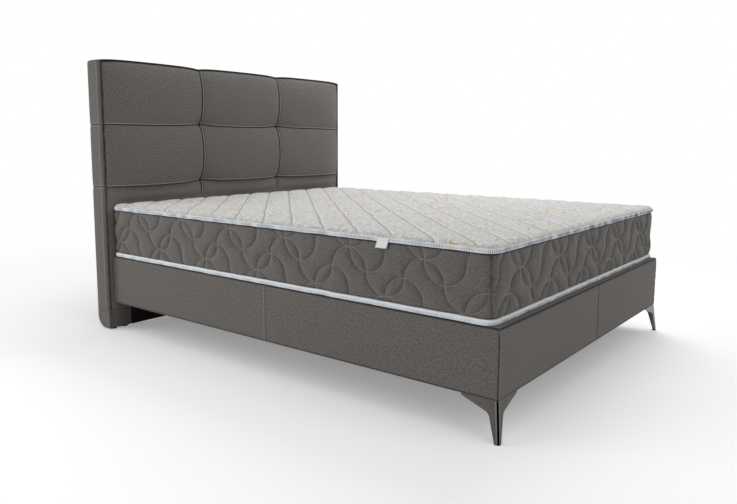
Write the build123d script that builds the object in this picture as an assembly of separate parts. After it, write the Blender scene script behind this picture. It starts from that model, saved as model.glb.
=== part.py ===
from build123d import *
from math import cos, hypot, pi, sin, sqrt
import os

# Box spring bed. X runs across the bed, +Y towards the headboard, +Z up, floor at zero.
# Lengths are millimetres.

# Mattress
mattress_width = 1600
mattress_length = 2000
mattress_height = 235
mattress_corner_radius = 30
mattress_border_wall = 14
mattress_border_bulge = 3.5
mattress_crown = 13
top_tape_height = 16
bottom_tape_height = 18
tape_wall = 9
tape_proud = 2.5
panel_wall = 10
comfort_foam_wall = 20
felt_wall = 4
edge_foam_width = 60
pocket_diameter = 64
quilt_pitch = 110
quilt_channel_depth = 3
quilt_channel_width = 14
label_width = 46
label_drop = 37
label_wall = 0.8
label_from_foot = 402

# Base
base_width = 1610
base_height = 225
base_foot_overhang = 28
base_corner_radius = 14
base_cover_wall = 4
base_cover_top_bevel = 2.5
base_side_foam_wall = 8
base_top_cover_wall = 2
base_top_foam_wall = 24
base_felt_wall = 4
dust_cover_wall = 1.2
rail_wall = 22
slat_width = 70
slat_wall = 18
slat_seat_height = 52
slat_gap = 110
ledger_wall = 24
beam_width = 45
corner_block_size = 84
corner_block_height = 50
base_pocket_diameter = 72
spring_margin = 26
border_wire_size = 4.5
border_wire_gap = 2
seam_width = 4
seam_depth = 1.5
side_seam_from_foot = 1000
foot_seam_x = 18

# Front legs, folded from one plate
leg_height = 130
leg_wing = 128
leg_wing_tip = 5
leg_knee_width = 33
leg_knee_drop = 40
leg_knee_radius = 26
leg_toe_width = 16
leg_toe_wall = 4
leg_wall = 4
leg_splay = 14
leg_inset = 2
leg_ridge_flat = 6.5
leg_flange_reach = 112
screw_diameter = 6
screw_length = 34
screw_head_diameter = 12
screw_head_height = 3.5
screw_near = 52
screw_far = 90

# Centre support legs, hidden under the middle beam
support_foot_diameter = 52
support_neck_diameter = 38
support_flange_diameter = 70
support_flange_wall = 8
support_foot_height = 14
support_stud_diameter = 10
support_stud_length = 30
support_count = 2

# Headboard
headboard_width = 1670
headboard_height = 1273
headboard_depth = 101
headboard_columns = 3
headboard_top_arch = 9
headboard_border_wall = 6
headboard_pad_base = 30
headboard_panel_wall = 12
headboard_back_wall = 1.5
headboard_post_width = 70
headboard_rail_height = 80
lower_seam_height = 685
upper_seam_height = 977
pad_crown = 38
pad_seam_rise = 18
tuft_depth = 16
pad_rest_height = 605
lower_pad_crown = 15
lower_pad_seam_rise = 5
welt_proud = 4
welt_outside = 1
foot_width = 118
foot_height = 95
foot_back_radius = 58
foot_floor_wall = 6
glide_height = 4
glide_diameter = 34
glide_places_share = (0.25, 0.75)
plinth_wall = 18
lining_wall = 2
lining_recess = 4
lining_floor_gap = 5
bolt_diameter = 8
bolt_head_diameter = 17
bolt_head_height = 5.5
bolt_grip_beyond_panel = 26
bolt_from_centre = 600
bolt_heights_share = (0.25, 0.74)
bolt_rail_height = 200

# Clearances, and one overrun for every cut
soft_clearance = 0.3
hole_clearance = 0.3
mattress_head_gap = 6
overrun = 5

# Sides of the small round pieces that repeat
pin_side_count = 12

# Places worked out from the sizes above
toe_reach = leg_splay - leg_inset
overall_length = (
    toe_reach + base_foot_overhang + mattress_length + mattress_head_gap + headboard_depth
)
base_foot_y = toe_reach - overall_length / 2
mattress_foot_y = base_foot_y + base_foot_overhang
mattress_head_y = mattress_foot_y + mattress_length
head_front_y = mattress_head_y + mattress_head_gap
head_back_y = head_front_y + headboard_depth
base_head_y = head_front_y - soft_clearance
base_top_z = leg_height + base_height
mattress_bottom_z = base_top_z + soft_clearance
mattress_top_z = mattress_bottom_z + mattress_height
side_wall = base_cover_wall + base_side_foam_wall
frame_wall = side_wall + rail_wall
frame_bottom_z = leg_height + dust_cover_wall
felt_top_z = base_top_z - base_top_cover_wall - base_top_foam_wall
rail_top_z = felt_top_z - base_felt_wall
slat_bottom_z = frame_bottom_z + slat_seat_height
slat_top_z = slat_bottom_z + slat_wall
panel_front_y = head_front_y + headboard_pad_base
frame_front_y = panel_front_y + headboard_panel_wall
frame_back_y = head_back_y - headboard_back_wall
head_inner_half = headboard_width / 2 - headboard_border_wall
post_inner_x = head_inner_half - headboard_post_width
post_low_z = glide_height + foot_back_radius + foot_floor_wall
column_width = headboard_width / headboard_columns


def block(low, high):
    """A board or cutter between its lowest and highest corners."""
    centre = [(a + b) / 2 for a, b in zip(low, high)]
    size = [b - a for a, b in zip(low, high)]
    return Pos(*centre) * Box(*size)


def rounded_plan(width, foot_y, head_y, radius, inset=0):
    """A rounded rectangle seen from above, drawn in by inset on every side."""
    plan = RectangleRounded(width - 2 * inset, head_y - foot_y - 2 * inset, radius - inset)
    return Pos(0, (foot_y + head_y) / 2) * plan


def standing(plan, low_z, high_z):
    """A plan raised between two heights."""
    return Pos(0, 0, low_z) * extrude(plan, high_z - low_z)


def pin(x, y, low_z, high_z, diameter):
    """An upright bar, with a few flat sides in place of its round."""
    return Pos(x, y, low_z) * extrude(RegularPolygon(diameter / 2, pin_side_count), high_z - low_z)


def lying_pin(x, low_y, high_y, z, diameter):
    """A bar along Y, with a few flat sides in place of its round."""
    bar = extrude(RegularPolygon(diameter / 2, pin_side_count), high_y - low_y)
    return Pos(x, high_y, z) * Rot(90, 0, 0) * bar


def mattress_plan(inset=0):
    """The outline of the mattress from above."""
    return rounded_plan(
        mattress_width, mattress_foot_y, mattress_head_y, mattress_corner_radius, inset
    )


def base_plan(inset=0):
    """The outline of the upholstered base from above."""
    radius = max(base_corner_radius, inset + overrun)
    return rounded_plan(base_width, base_foot_y, base_head_y, radius, inset)


def lofted(plan, levels):
    """A solid through copies of a plan, one for each inset and height in levels."""
    return loft([Pos(0, 0, z) * plan(inset).face() for inset, z in levels], ruled=True)


def spring_rows(diameter, half_width, foot_y, head_y, low_z, high_z):
    """Rows of pocketed springs side by side, each with cut corners where the end pockets round."""
    count = int(2 * half_width / (diameter + soft_clearance))
    pitch = 2 * half_width / count
    plan = chamfer(Rectangle(diameter, head_y - foot_y).vertices(), diameter / sqrt(2) / 2)
    row = standing(Pos(0, (foot_y + head_y) / 2) * plan, low_z, high_z)
    return [Pos(pitch * (n + 0.5) - half_width, 0, 0) * row for n in range(count)]


# Mattress pieces
border_low_z = mattress_bottom_z + bottom_tape_height
border_high_z = mattress_top_z - top_tape_height
core_low_z = mattress_bottom_z + panel_wall + comfort_foam_wall + felt_wall
core_high_z = mattress_top_z - panel_wall - comfort_foam_wall - felt_wall
inner_inset = mattress_border_wall + soft_clearance


def mattress_border():
    """The quilted side band, which swells a little between its two tapes."""
    height = border_high_z - border_low_z
    steps = 4
    swell = [
        (-mattress_border_bulge * sin(pi * n / steps), border_low_z + height * n / steps)
        for n in range(steps + 1)
    ]
    hollow = standing(mattress_plan(mattress_border_wall), border_low_z, border_high_z)
    return lofted(mattress_plan, swell) - hollow


def edge_tape(low_z, height):
    """A rolled tape that closes the seam between the side band and a panel."""
    rise = height / 4
    roll = lofted(
        mattress_plan,
        [
            (0, low_z),
            (-tape_proud, low_z + rise),
            (-tape_proud, low_z + height - rise),
            (0, low_z + height),
        ],
    )
    return roll - standing(mattress_plan(tape_wall), low_z, low_z + height)


def quilt_channels():
    """Sewn channels in diamonds: V grooves along both diagonals of the top."""
    crown_z = mattress_top_z + mattress_crown
    half = quilt_channel_width / 2
    reach = hypot(mattress_width, mattress_length)
    groove = Plane.YZ * make_face(
        Polyline((-half, overrun), (0, -quilt_channel_depth), (half, overrun), close=True)
    )
    bar = Pos(-reach / 2, 0, 0) * extrude(groove, reach)
    count = int(reach / quilt_pitch / 2)
    middle_y = (mattress_foot_y + mattress_head_y) / 2
    return [
        Pos(0, middle_y, crown_z) * Rot(0, 0, angle) * Pos(0, quilt_pitch * n, 0) * bar
        for angle in (45, -45)
        for n in range(-count, count + 1)
    ]


def mattress_top_panel():
    """The quilted top, crowned from the tape to its flat middle."""
    seat_z = mattress_top_z - panel_wall
    crown_levels = [
        (tape_wall + soft_clearance, seat_z),
        (tape_wall + soft_clearance, mattress_top_z),
    ]
    run = mattress_corner_radius - tape_wall - overrun
    steps = 3
    for n in range(1, steps + 1):
        turn = pi / 2 * n / steps
        inset = tape_wall + soft_clearance + run * (1 - cos(turn))
        crown_levels.append((inset, mattress_top_z + mattress_crown * sin(turn)))
    return lofted(mattress_plan, crown_levels) - quilt_channels()


def mattress_layer(low_z, wall, inset=inner_inset):
    """A flat layer inside the side band."""
    return standing(mattress_plan(inset), low_z, low_z + wall)


def mattress_edge_foam():
    """Four firm foam rails around the springs."""
    inner = inner_inset + edge_foam_width
    half = mattress_width / 2 - inner
    hollow = block(
        (-half, mattress_foot_y + inner, core_low_z),
        (half, mattress_head_y - inner, core_high_z),
    )
    ring = standing(mattress_plan(inner_inset), core_low_z, core_high_z) - hollow
    middle = block(
        (-half, mattress_foot_y, core_low_z - overrun),
        (half, mattress_head_y, core_high_z + overrun),
    )
    return (ring - middle).solids() + (ring & middle).solids()


def mattress_springs():
    """The pocket spring rows, which fill the space inside the edge foam."""
    inner = inner_inset + edge_foam_width + soft_clearance
    return spring_rows(
        pocket_diameter,
        mattress_width / 2 - inner,
        mattress_foot_y + inner,
        mattress_head_y - inner,
        core_low_z,
        core_high_z,
    )


def mattress_label():
    """A blank cloth label that hangs from the top tape on the left side."""
    outer_x = -mattress_width / 2 - tape_proud - soft_clearance
    centre_y = mattress_foot_y + label_from_foot
    return block(
        (outer_x - label_wall, centre_y - label_width / 2, mattress_top_z - label_drop),
        (outer_x, centre_y + label_width / 2, mattress_top_z),
    )


# Base pieces
half_base = base_width / 2
frame_half_x = half_base - side_wall
frame_foot_y = base_foot_y + side_wall
frame_head_y = base_head_y - side_wall
inside_half_x = half_base - frame_wall
inside_foot_y = base_foot_y + frame_wall
inside_head_y = base_head_y - frame_wall
bolt_places = [
    (side * bolt_from_centre, leg_height + share * base_height)
    for side in (-1, 1)
    for share in bolt_heights_share
]
screw_places = [
    (screw_near, screw_near),
    (screw_far, screw_near),
    (screw_near, screw_far),
]
support_places = [
    inside_foot_y + (inside_head_y - inside_foot_y) * n / (support_count + 1)
    for n in range(1, support_count + 1)
]


def seam_groove(x, y, angle):
    """A V cut for one upright seam, facing the way the angle turns it."""
    half = seam_width / 2
    plan = make_face(
        Polyline((-half, -overrun), (0, seam_depth), (half, -overrun), close=True)
    )
    return Pos(x, y, 0) * Rot(0, 0, angle) * standing(plan, 0, base_top_z + overrun)


def base_cover():
    """The upholstery fabric round the base, with its upright seams."""
    skin = standing(base_plan(), leg_height, base_top_z)
    skin = chamfer(skin.edges().group_by(Axis.Z)[-1], base_cover_top_bevel)
    skin -= standing(base_plan(base_cover_wall), leg_height, base_top_z)
    seam_y = base_foot_y + side_seam_from_foot
    skin -= seam_groove(foot_seam_x, base_foot_y, 0)
    skin -= seam_groove(-half_base, seam_y, -90)
    skin -= seam_groove(half_base, seam_y, 90)
    return skin - bolt_bores()


def base_side_foam():
    """Thin foam between the fabric and the timber frame."""
    outer = standing(base_plan(base_cover_wall), leg_height, rail_top_z)
    hollow = block(
        (-frame_half_x, frame_foot_y, leg_height - overrun),
        (frame_half_x, frame_head_y, rail_top_z + overrun),
    )
    return outer - hollow - bolt_bores()


def side_rail(side):
    """A long board of the frame."""
    near, far = sorted((side * inside_half_x, side * frame_half_x))
    return block((near, frame_foot_y, frame_bottom_z), (far, frame_head_y, rail_top_z))


def end_rail(near_y, far_y):
    """A board across one end of the frame, between the long boards."""
    return block(
        (-inside_half_x, near_y, frame_bottom_z), (inside_half_x, far_y, rail_top_z)
    )


def head_rail():
    """The head board of the frame, bored for the headboard bolts."""
    return end_rail(inside_head_y, frame_head_y) - bolt_bores()


def corner_blocks():
    """Blocks glued in the four corners of the frame; the front two take the leg screws."""
    size = corner_block_size
    high_z = frame_bottom_z + corner_block_height
    blocks = []
    for side in (-1, 1):
        outer_x = side * inside_half_x
        inner_x = outer_x - side * size
        low_x, high_x = sorted((outer_x, inner_x))
        front = block(
            (low_x, inside_foot_y, frame_bottom_z), (high_x, inside_foot_y + size, high_z)
        )
        back = block(
            (low_x, inside_head_y - size, frame_bottom_z), (high_x, inside_head_y, high_z)
        )
        blocks += [front - screw_bores(side), back]
    return blocks


def ledgers():
    """Battens on the long boards, which carry the slat ends."""
    length_low = inside_foot_y + corner_block_size
    length_high = inside_head_y - corner_block_size
    return [
        block(
            (min(x, x - side * ledger_wall), length_low, frame_bottom_z),
            (max(x, x - side * ledger_wall), length_high, slat_bottom_z),
        )
        for side in (-1, 1)
        for x in (side * inside_half_x,)
    ]


def centre_beam():
    """The beam from foot to head under the middle of the slats."""
    half = beam_width / 2
    beam = block(
        (-half, inside_foot_y, frame_bottom_z), (half, inside_head_y, slat_bottom_z)
    )
    for y in support_places:
        beam -= pin(
            0,
            y,
            leg_height,
            leg_height + support_stud_length + hole_clearance,
            support_stud_diameter + 2 * hole_clearance,
        )
    return beam


def slats():
    """Cross slats at an even pitch on the ledgers and the beam."""
    low = inside_foot_y + corner_block_size
    span = inside_head_y - corner_block_size - low - slat_width
    count = int(span / (slat_width + slat_gap)) + 1
    pitch = span / (count - 1)
    return [
        block(
            (-inside_half_x, low + pitch * n, slat_bottom_z),
            (inside_half_x, low + pitch * n + slat_width, slat_top_z),
        )
        for n in range(count)
    ]


def base_springs():
    """Pocket spring rows on the slats."""
    return spring_rows(
        base_pocket_diameter,
        inside_half_x - spring_margin,
        inside_foot_y + spring_margin,
        inside_head_y - spring_margin,
        slat_top_z,
        rail_top_z,
    )


def border_wires():
    """Two closed wires round the spring rows, one at the slats and one under the felt."""
    width = 2 * inside_half_x - border_wire_gap * 2
    length = inside_head_y - inside_foot_y - border_wire_gap * 2
    bend = 4 * border_wire_size
    outer = chamfer(Rectangle(width, length).vertices(), bend)
    inner = chamfer(
        Rectangle(width - 2 * border_wire_size, length - 2 * border_wire_size).vertices(),
        bend - border_wire_size / 2,
    )
    ring = Pos(0, (inside_foot_y + inside_head_y) / 2) * (outer - inner)
    return [
        standing(ring, z, z + border_wire_size)
        for z in (slat_top_z, rail_top_z - border_wire_size)
    ]


def base_felt():
    """Felt over the springs and the frame."""
    return standing(base_plan(base_cover_wall), rail_top_z, felt_top_z)


def base_top_foam():
    """The foam that the mattress rests over."""
    return standing(
        base_plan(base_cover_wall), felt_top_z, base_top_z - base_top_cover_wall
    )


def base_top_cover():
    """The fabric on top of the base."""
    return standing(
        base_plan(base_cover_wall), base_top_z - base_top_cover_wall, base_top_z
    )


def dust_cover():
    """Thin lining stapled under the frame."""
    sheet = block(
        (-frame_half_x, frame_foot_y, leg_height),
        (frame_half_x, frame_head_y, frame_bottom_z),
    )
    for side in (-1, 1):
        sheet -= screw_bores(side)
    for y in support_places:
        hole = support_stud_diameter + 2 * hole_clearance
        sheet -= pin(0, y, leg_height - overrun, frame_bottom_z + overrun, hole)
    return sheet


# Leg pieces
def at_front_corner(piece, side):
    """Moves a piece drawn for the left front corner to the corner on the given side."""
    placed = Pos(leg_inset - half_base, base_foot_y + leg_inset, 0) * piece
    return placed if side < 0 else mirror(placed, about=Plane.YZ)


def leg_wing_plate():
    """One wing of the folded leg, leaning out with the fold.

    Its plane holds the fold line and the X axis. The outline runs along the top, back
    from the tip to the knee, down the shin to the toe and up the fold.
    """
    slant = hypot(leg_height, leg_splay)
    knee_share = leg_knee_drop / leg_height
    leaning = Plane(
        origin=(0, 0, leg_height), x_dir=(1, 0, 0), z_dir=(0, leg_height, -leg_splay)
    )
    knee = (leg_knee_width - leg_splay * knee_share, slant * knee_share)
    outline = make_face(
        Polyline(
            (0, 0),
            (leg_wing, 0),
            (leg_wing, leg_wing_tip),
            knee,
            (leg_toe_width - leg_splay, slant),
            (-leg_splay, slant),
            close=True,
        )
    )
    knee_corner = outline.vertices().sort_by_distance((*knee, 0))[0]
    outline = fillet(knee_corner, leg_knee_radius)
    return extrude(leaning * outline, leg_wall, dir=(0, 1, 0))


def leg():
    """A folded leg with a flat along its ridge, with its flange and its closed toe."""
    wing = leg_wing_plate()
    folded = wing + mirror(wing, about=Plane((0, 0, 0), z_dir=(1, -1, 0)))
    reach = leg_flange_reach
    nose = screw_near + screw_head_diameter
    flange = make_face(
        Polyline((0, 0), (reach, 0), (reach, nose), (nose, reach), (0, reach), close=True)
    )
    folded += standing(flange, leg_height - leg_wall, leg_height)
    toe = Pos(-leg_splay, -leg_splay) * Rectangle(
        leg_toe_width, leg_toe_width, align=(Align.MIN, Align.MIN)
    )
    ridge = Plane(
        origin=(0, 0, leg_height),
        x_dir=(-leg_splay, -leg_splay, -leg_height),
        z_dir=(-leg_height, -leg_height, 2 * leg_splay),
    )
    size = 3 * leg_height
    bevel = Box(size, size, leg_height, align=(Align.CENTER, Align.CENTER, Align.MIN))
    bevel = ridge * Pos(0, 0, -leg_ridge_flat / 2) * bevel
    return folded + standing(toe, 0, leg_toe_wall) - bevel


def screw_pins(low_z, high_z, diameter):
    """Upright bars at the leg screws of the left front corner."""
    return [pin(x, y, low_z, high_z, diameter) for x, y in screw_places]


def screw_bores(side):
    """Cutters for the leg screws on the given side."""
    top_z = leg_height + screw_length
    pins = screw_pins(0, top_z + hole_clearance, screw_diameter + 2 * hole_clearance)
    return [at_front_corner(bore, side) for bore in pins]


def leg_screws():
    """The screws that hold both legs to the corner blocks."""
    flange_low_z = leg_height - leg_wall
    shanks = screw_pins(flange_low_z, leg_height + screw_length, screw_diameter)
    heads = screw_pins(flange_low_z - screw_head_height, flange_low_z, screw_head_diameter)
    screws = [shank + head for shank, head in zip(shanks, heads)]
    return [at_front_corner(screw, side) for side in (-1, 1) for screw in screws]


def bored_leg(side):
    """The leg for one front corner, bored for its screws."""
    return at_front_corner(leg(), side) - screw_bores(side)


def support_legs():
    """Turned plastic legs under the beam, each with a stud in the beam."""
    foot = support_foot_diameter / 2
    neck = support_neck_diameter / 2
    flange = support_flange_diameter / 2
    flange_z = leg_height - support_flange_wall
    levels = [
        (foot, 0),
        (foot, support_foot_height),
        (neck, 2 * support_foot_height),
        (neck, flange_z - support_flange_wall),
        (flange, flange_z),
        (flange, leg_height),
    ]
    rings = [Pos(0, 0, z) * RegularPolygon(radius, pin_side_count).face() for radius, z in levels]
    turned = loft(rings, ruled=True)
    turned += pin(0, 0, leg_height, leg_height + support_stud_length, support_stud_diameter)
    return [Pos(0, y, 0) * turned for y in support_places]


# Headboard pieces
def column_edges(inset=0):
    """The upright seams across the headboard, from its left edge to its right edge."""
    half = headboard_width / 2
    inner = [column_width * n - half for n in range(1, headboard_columns)]
    return [inset - half, *inner, half - inset]


def headboard_outline(inset=0):
    """The front outline, whose top edge swells between the upright seams."""
    top = headboard_height - inset
    edges = column_edges(inset)
    low = top - headboard_top_arch
    arcs = [
        ThreePointArc((a, low), ((a + b) / 2, top), (b, low))
        for a, b in zip(edges, edges[1:])
    ]
    frame_line = Polyline(
        (edges[-1], low), (edges[-1], foot_height), (edges[0], foot_height), (edges[0], low)
    )
    return make_face([*arcs, frame_line])


def upright(face, low_y, high_y):
    """A front outline given depth between two places along Y."""
    return Pos(0, high_y, 0) * extrude(Plane.XZ * face, high_y - low_y)


def pad_section(z, seam_rise, crown_rise):
    """One level of the upholstered front: arcs swell forward between the upright seams."""
    edges = column_edges(headboard_border_wall)
    rises = [0] + [seam_rise] * (headboard_columns - 1) + [0]
    points = [(x, head_front_y - rise) for x, rise in zip(edges, rises)]
    arcs = []
    for a, b in zip(points, points[1:]):
        middle = ((a[0] + b[0]) / 2, head_front_y - crown_rise)
        arcs.append(ThreePointArc(a, middle, b))
    back = Polyline(
        points[-1], (points[-1][0], panel_front_y), (points[0][0], panel_front_y), points[0]
    )
    return Pos(0, 0, z) * make_face([*arcs, back]).face()


def pad_levels(low_z, high_z, low_rises, high_rises, peak_rises):
    """Levels of one row of pads: each rise follows half a circle between two seams."""
    steps = 6
    levels = []
    for n in range(steps + 1):
        turn = pi * n / steps
        share = (1 - cos(turn)) / 2
        rises = []
        for low, high, peak in zip(low_rises, high_rises, peak_rises):
            chord = low + (high - low) * share
            rises.append(chord + (peak - chord) * sin(turn))
        levels.append((low_z + (high_z - low_z) * share, *rises))
    return levels


flat_rises = (0, 0.1)
tuft_rises = (-tuft_depth, pad_seam_rise)
peak_rises = (pad_seam_rise, pad_crown)
lower_peak_rises = (lower_pad_seam_rise, lower_pad_crown)
lower_tuft_rises = (-tuft_depth, lower_pad_crown)


def pad_row(levels):
    """One row of pads through its levels, cut to the outline of the headboard."""
    row = loft([pad_section(*level) for level in levels], ruled=True)
    outline = headboard_outline(headboard_border_wall)
    return row & upright(outline, head_front_y - 2 * pad_crown, panel_front_y)


def upper_pads():
    """The top row, from the upper seam to the welted edge."""
    top = headboard_height - headboard_border_wall
    return pad_row(pad_levels(upper_seam_height, top, tuft_rises, flat_rises, peak_rises))


def middle_pads():
    """The middle row, between the two cross seams."""
    return pad_row(
        pad_levels(lower_seam_height, upper_seam_height, tuft_rises, tuft_rises, peak_rises)
    )


def lower_pads():
    """The lower row: flat behind the base and the mattress, swelling above them."""
    swell = pad_levels(
        pad_rest_height, lower_seam_height, flat_rises, tuft_rises, lower_peak_rises
    )
    return pad_row([(foot_height, *flat_rises), *swell]) - bolt_bores()


def headboard_border():
    """The band round both sides and the top."""
    ring = headboard_outline() - headboard_outline(headboard_border_wall)
    return upright(ring, head_front_y, frame_back_y)


def headboard_welt():
    """The raised seam along the front edge of the band."""
    outer = headboard_outline(-welt_outside)
    ring = outer - headboard_outline(headboard_border_wall - welt_outside)
    return upright(ring, head_front_y - welt_proud, head_front_y)


def headboard_back_cover():
    """The cloth over the back."""
    return upright(headboard_outline(), frame_back_y, head_back_y)


def headboard_panel():
    """The board that carries the pads."""
    return (
        upright(headboard_outline(headboard_border_wall), panel_front_y, frame_front_y)
        - bolt_bores()
    )


def headboard_post(side):
    """An upright of the headboard, down into its covered foot."""
    near, far = sorted((side * post_inner_x, side * head_inner_half))
    top = headboard_height - headboard_border_wall - headboard_top_arch
    return block((near, frame_front_y, post_low_z), (far, frame_back_y, top))


def headboard_rails():
    """Cross boards between the posts: one behind each seam, one at the top, one for the bolts."""
    top = headboard_height - headboard_border_wall - headboard_top_arch
    half = headboard_rail_height / 2
    spans = [
        (leg_height, leg_height + bolt_rail_height),
        (lower_seam_height - half, lower_seam_height + half),
        (upper_seam_height - half, upper_seam_height + half),
        (top - headboard_rail_height, top),
    ]
    rails = [
        block((-post_inner_x, frame_front_y, low), (post_inner_x, frame_back_y, high))
        for low, high in spans
    ]
    return [rails[0] - bolt_bores(), *rails[1:]]


def headboard_foot(side):
    """A covered foot, rounded at its lower back corner, over the end of a post."""
    plan = make_face(
        Polyline(
            (head_front_y, glide_height),
            (head_back_y, glide_height),
            (head_back_y, foot_height),
            (head_front_y, foot_height),
            close=True,
        )
    )
    corner = plan.vertices().sort_by_distance((head_back_y, glide_height, 0))[0]
    side_view = fillet(corner, foot_back_radius)
    outer_x = headboard_width / 2
    low_x = -outer_x if side < 0 else outer_x - foot_width
    foot = Pos(low_x, 0, 0) * extrude(Plane.YZ * side_view, foot_width)
    pocket_low, pocket_high = sorted((side * post_inner_x, side * head_inner_half))
    pocket = block(
        (pocket_low, frame_front_y, post_low_z),
        (pocket_high, frame_back_y, foot_height + overrun),
    )
    return foot - pocket


def glides():
    """Two plastic glides side by side under the flat part of each headboard foot."""
    y = head_front_y + (headboard_depth - foot_back_radius) / 2
    return [
        pin(side * (headboard_width / 2 - share * foot_width), y, 0, glide_height, glide_diameter)
        for side in (-1, 1)
        for share in glide_places_share
    ]


def plinth():
    """The board between the feet, under the pads."""
    half = headboard_width / 2 - foot_width
    front_y = head_front_y + lining_recess + lining_wall
    return block(
        (-half, front_y, lining_floor_gap * 2), (half, front_y + plinth_wall, foot_height)
    )


def plinth_lining():
    """Dark cloth on the front of the plinth, down to just over the floor."""
    half = headboard_width / 2 - foot_width
    front_y = head_front_y + lining_recess
    return block(
        (-half, front_y, lining_floor_gap), (half, front_y + lining_wall, foot_height)
    )


bolt_low_y = inside_head_y
bolt_high_y = frame_front_y + bolt_grip_beyond_panel


def bolt_bores():
    """Cutters for the headboard bolts."""
    return [
        lying_pin(
            x,
            bolt_low_y - overrun,
            bolt_high_y + hole_clearance,
            z,
            bolt_diameter + 2 * hole_clearance,
        )
        for x, z in bolt_places
    ]


def headboard_bolts():
    """Bolts from inside the base through the lower pads into the headboard."""
    bolts = []
    for x, z in bolt_places:
        shank = lying_pin(x, bolt_low_y, bolt_high_y, z, bolt_diameter)
        head = lying_pin(x, bolt_low_y - bolt_head_height, bolt_low_y, z, bolt_head_diameter)
        bolts.append(shank + head)
    return bolts


nodes = {
    "mattress_border": mattress_border(),
    "mattress_top_tape": edge_tape(border_high_z, top_tape_height),
    "mattress_bottom_tape": edge_tape(mattress_bottom_z, bottom_tape_height),
    "mattress_top_panel": mattress_top_panel(),
    "mattress_bottom_panel": mattress_layer(
        mattress_bottom_z, panel_wall, tape_wall + soft_clearance
    ),
    "mattress_top_foam": mattress_layer(core_high_z + felt_wall, comfort_foam_wall),
    "mattress_bottom_foam": mattress_layer(mattress_bottom_z + panel_wall, comfort_foam_wall),
    "mattress_top_felt": mattress_layer(core_high_z, felt_wall),
    "mattress_bottom_felt": mattress_layer(core_low_z - felt_wall, felt_wall),
    "mattress_edge_foam": mattress_edge_foam(),
    "mattress_spring_rows": mattress_springs(),
    "mattress_label": mattress_label(),
    "base_cover": base_cover(),
    "base_top_cover": base_top_cover(),
    "base_top_foam": base_top_foam(),
    "base_felt": base_felt(),
    "base_spring_rows": base_springs(),
    "base_border_wires": border_wires(),
    "base_side_foam": base_side_foam(),
    "base_side_rail_left": side_rail(-1),
    "base_side_rail_right": side_rail(1),
    "base_head_rail": head_rail(),
    "base_foot_rail": end_rail(frame_foot_y, inside_foot_y),
    "base_corner_blocks": corner_blocks(),
    "base_ledgers": ledgers(),
    "base_centre_beam": centre_beam(),
    "base_slats": slats(),
    "base_dust_cover": dust_cover(),
    "leg_front_left": bored_leg(-1),
    "leg_front_right": bored_leg(1),
    "leg_screws": leg_screws(),
    "centre_support_legs": support_legs(),
    "headboard_upper_pads": upper_pads(),
    "headboard_middle_pads": middle_pads(),
    "headboard_lower_pads": lower_pads(),
    "headboard_border": headboard_border(),
    "headboard_welt": headboard_welt(),
    "headboard_back_cover": headboard_back_cover(),
    "headboard_panel": headboard_panel(),
    "headboard_post_left": headboard_post(-1),
    "headboard_post_right": headboard_post(1),
    "headboard_rails": headboard_rails(),
    "headboard_foot_left": headboard_foot(-1),
    "headboard_foot_right": headboard_foot(1),
    "headboard_glides": glides(),
    "headboard_plinth": plinth(),
    "headboard_plinth_lining": plinth_lining(),
    "headboard_bolts": headboard_bolts(),
}

os.makedirs("parts", exist_ok=True)
for name, piece in nodes.items():
    solids = piece if isinstance(piece, list) else piece.solids()
    export_step(Compound(children=list(solids)), f"parts/{name}.step")
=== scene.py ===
"""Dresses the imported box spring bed: covers, quilting, tapes, seams, finishes and a plain stage."""

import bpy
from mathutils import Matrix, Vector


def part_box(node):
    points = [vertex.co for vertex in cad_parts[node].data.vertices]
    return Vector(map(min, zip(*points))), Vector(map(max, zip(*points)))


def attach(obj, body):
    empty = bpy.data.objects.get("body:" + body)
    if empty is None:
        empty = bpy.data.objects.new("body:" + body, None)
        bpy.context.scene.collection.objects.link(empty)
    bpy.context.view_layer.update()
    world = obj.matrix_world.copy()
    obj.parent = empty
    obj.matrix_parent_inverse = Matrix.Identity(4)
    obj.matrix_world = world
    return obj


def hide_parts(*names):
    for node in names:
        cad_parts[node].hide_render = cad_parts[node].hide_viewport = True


bl_info = {
    "name": "Box Spring Bed Dressing",
    "version": (1, 0, 0),
    "blender": (4, 5, 0),
    "location": "3D View > Sidebar > Bed",
    "description": "Dresses the packed box spring bed with its covers, quilting, finishes and stage",
    "category": "Object",
}

import math

import bmesh
import bpy
import numpy as np
from bpy.props import FloatProperty, FloatVectorProperty, PointerProperty
from mathutils import Matrix, Vector

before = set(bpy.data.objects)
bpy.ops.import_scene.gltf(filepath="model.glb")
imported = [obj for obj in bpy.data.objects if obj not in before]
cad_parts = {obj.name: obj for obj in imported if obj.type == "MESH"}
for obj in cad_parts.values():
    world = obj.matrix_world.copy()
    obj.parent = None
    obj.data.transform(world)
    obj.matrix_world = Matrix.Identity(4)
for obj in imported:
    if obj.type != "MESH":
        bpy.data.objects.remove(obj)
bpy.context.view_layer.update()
TAU = 2 * math.pi

# Numbers that no setting holds, in metres where they are lengths
DOUBLES = 1e-6
FAR = 9.0
TAPE_REACH = 0.0125
TAPE_PROUD = 0.0036
TAPE_SQUARENESS = 0.42
THREAD_GAP = 0.0001
CORNER_LEAN = 0.007
LEAF_HEIGHT = 1.045
CHANNEL_STARTS = (0.0139, 0.035)
TOP_OVERLAP = 0.0018
SIDE_SEAM = 1.000
FOOT_SEAM = 0.018
COVER_STEPS = (0.0125, 0.0013)
COVER_ROLL = 0.0068
PADS_REST_Z = 0.620
PAD_WALL = 0.006
PAD_STEPS = (0.0115, 0.0016)
BAND_STEPS = (0.016, 0.0018)
BAND_CORNER = 0.007
BAND_STRIP = 0.020
BAND_MIDDLE = 0.83
STITCH_WIDTH = 0.0014
FLOOR_REACH = 30.0
FADE_START = 1.7
FADE_LENGTH = 2.4
CAMERA_PLACE = (-2.6037, -1.9679, 0.9079)
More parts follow.
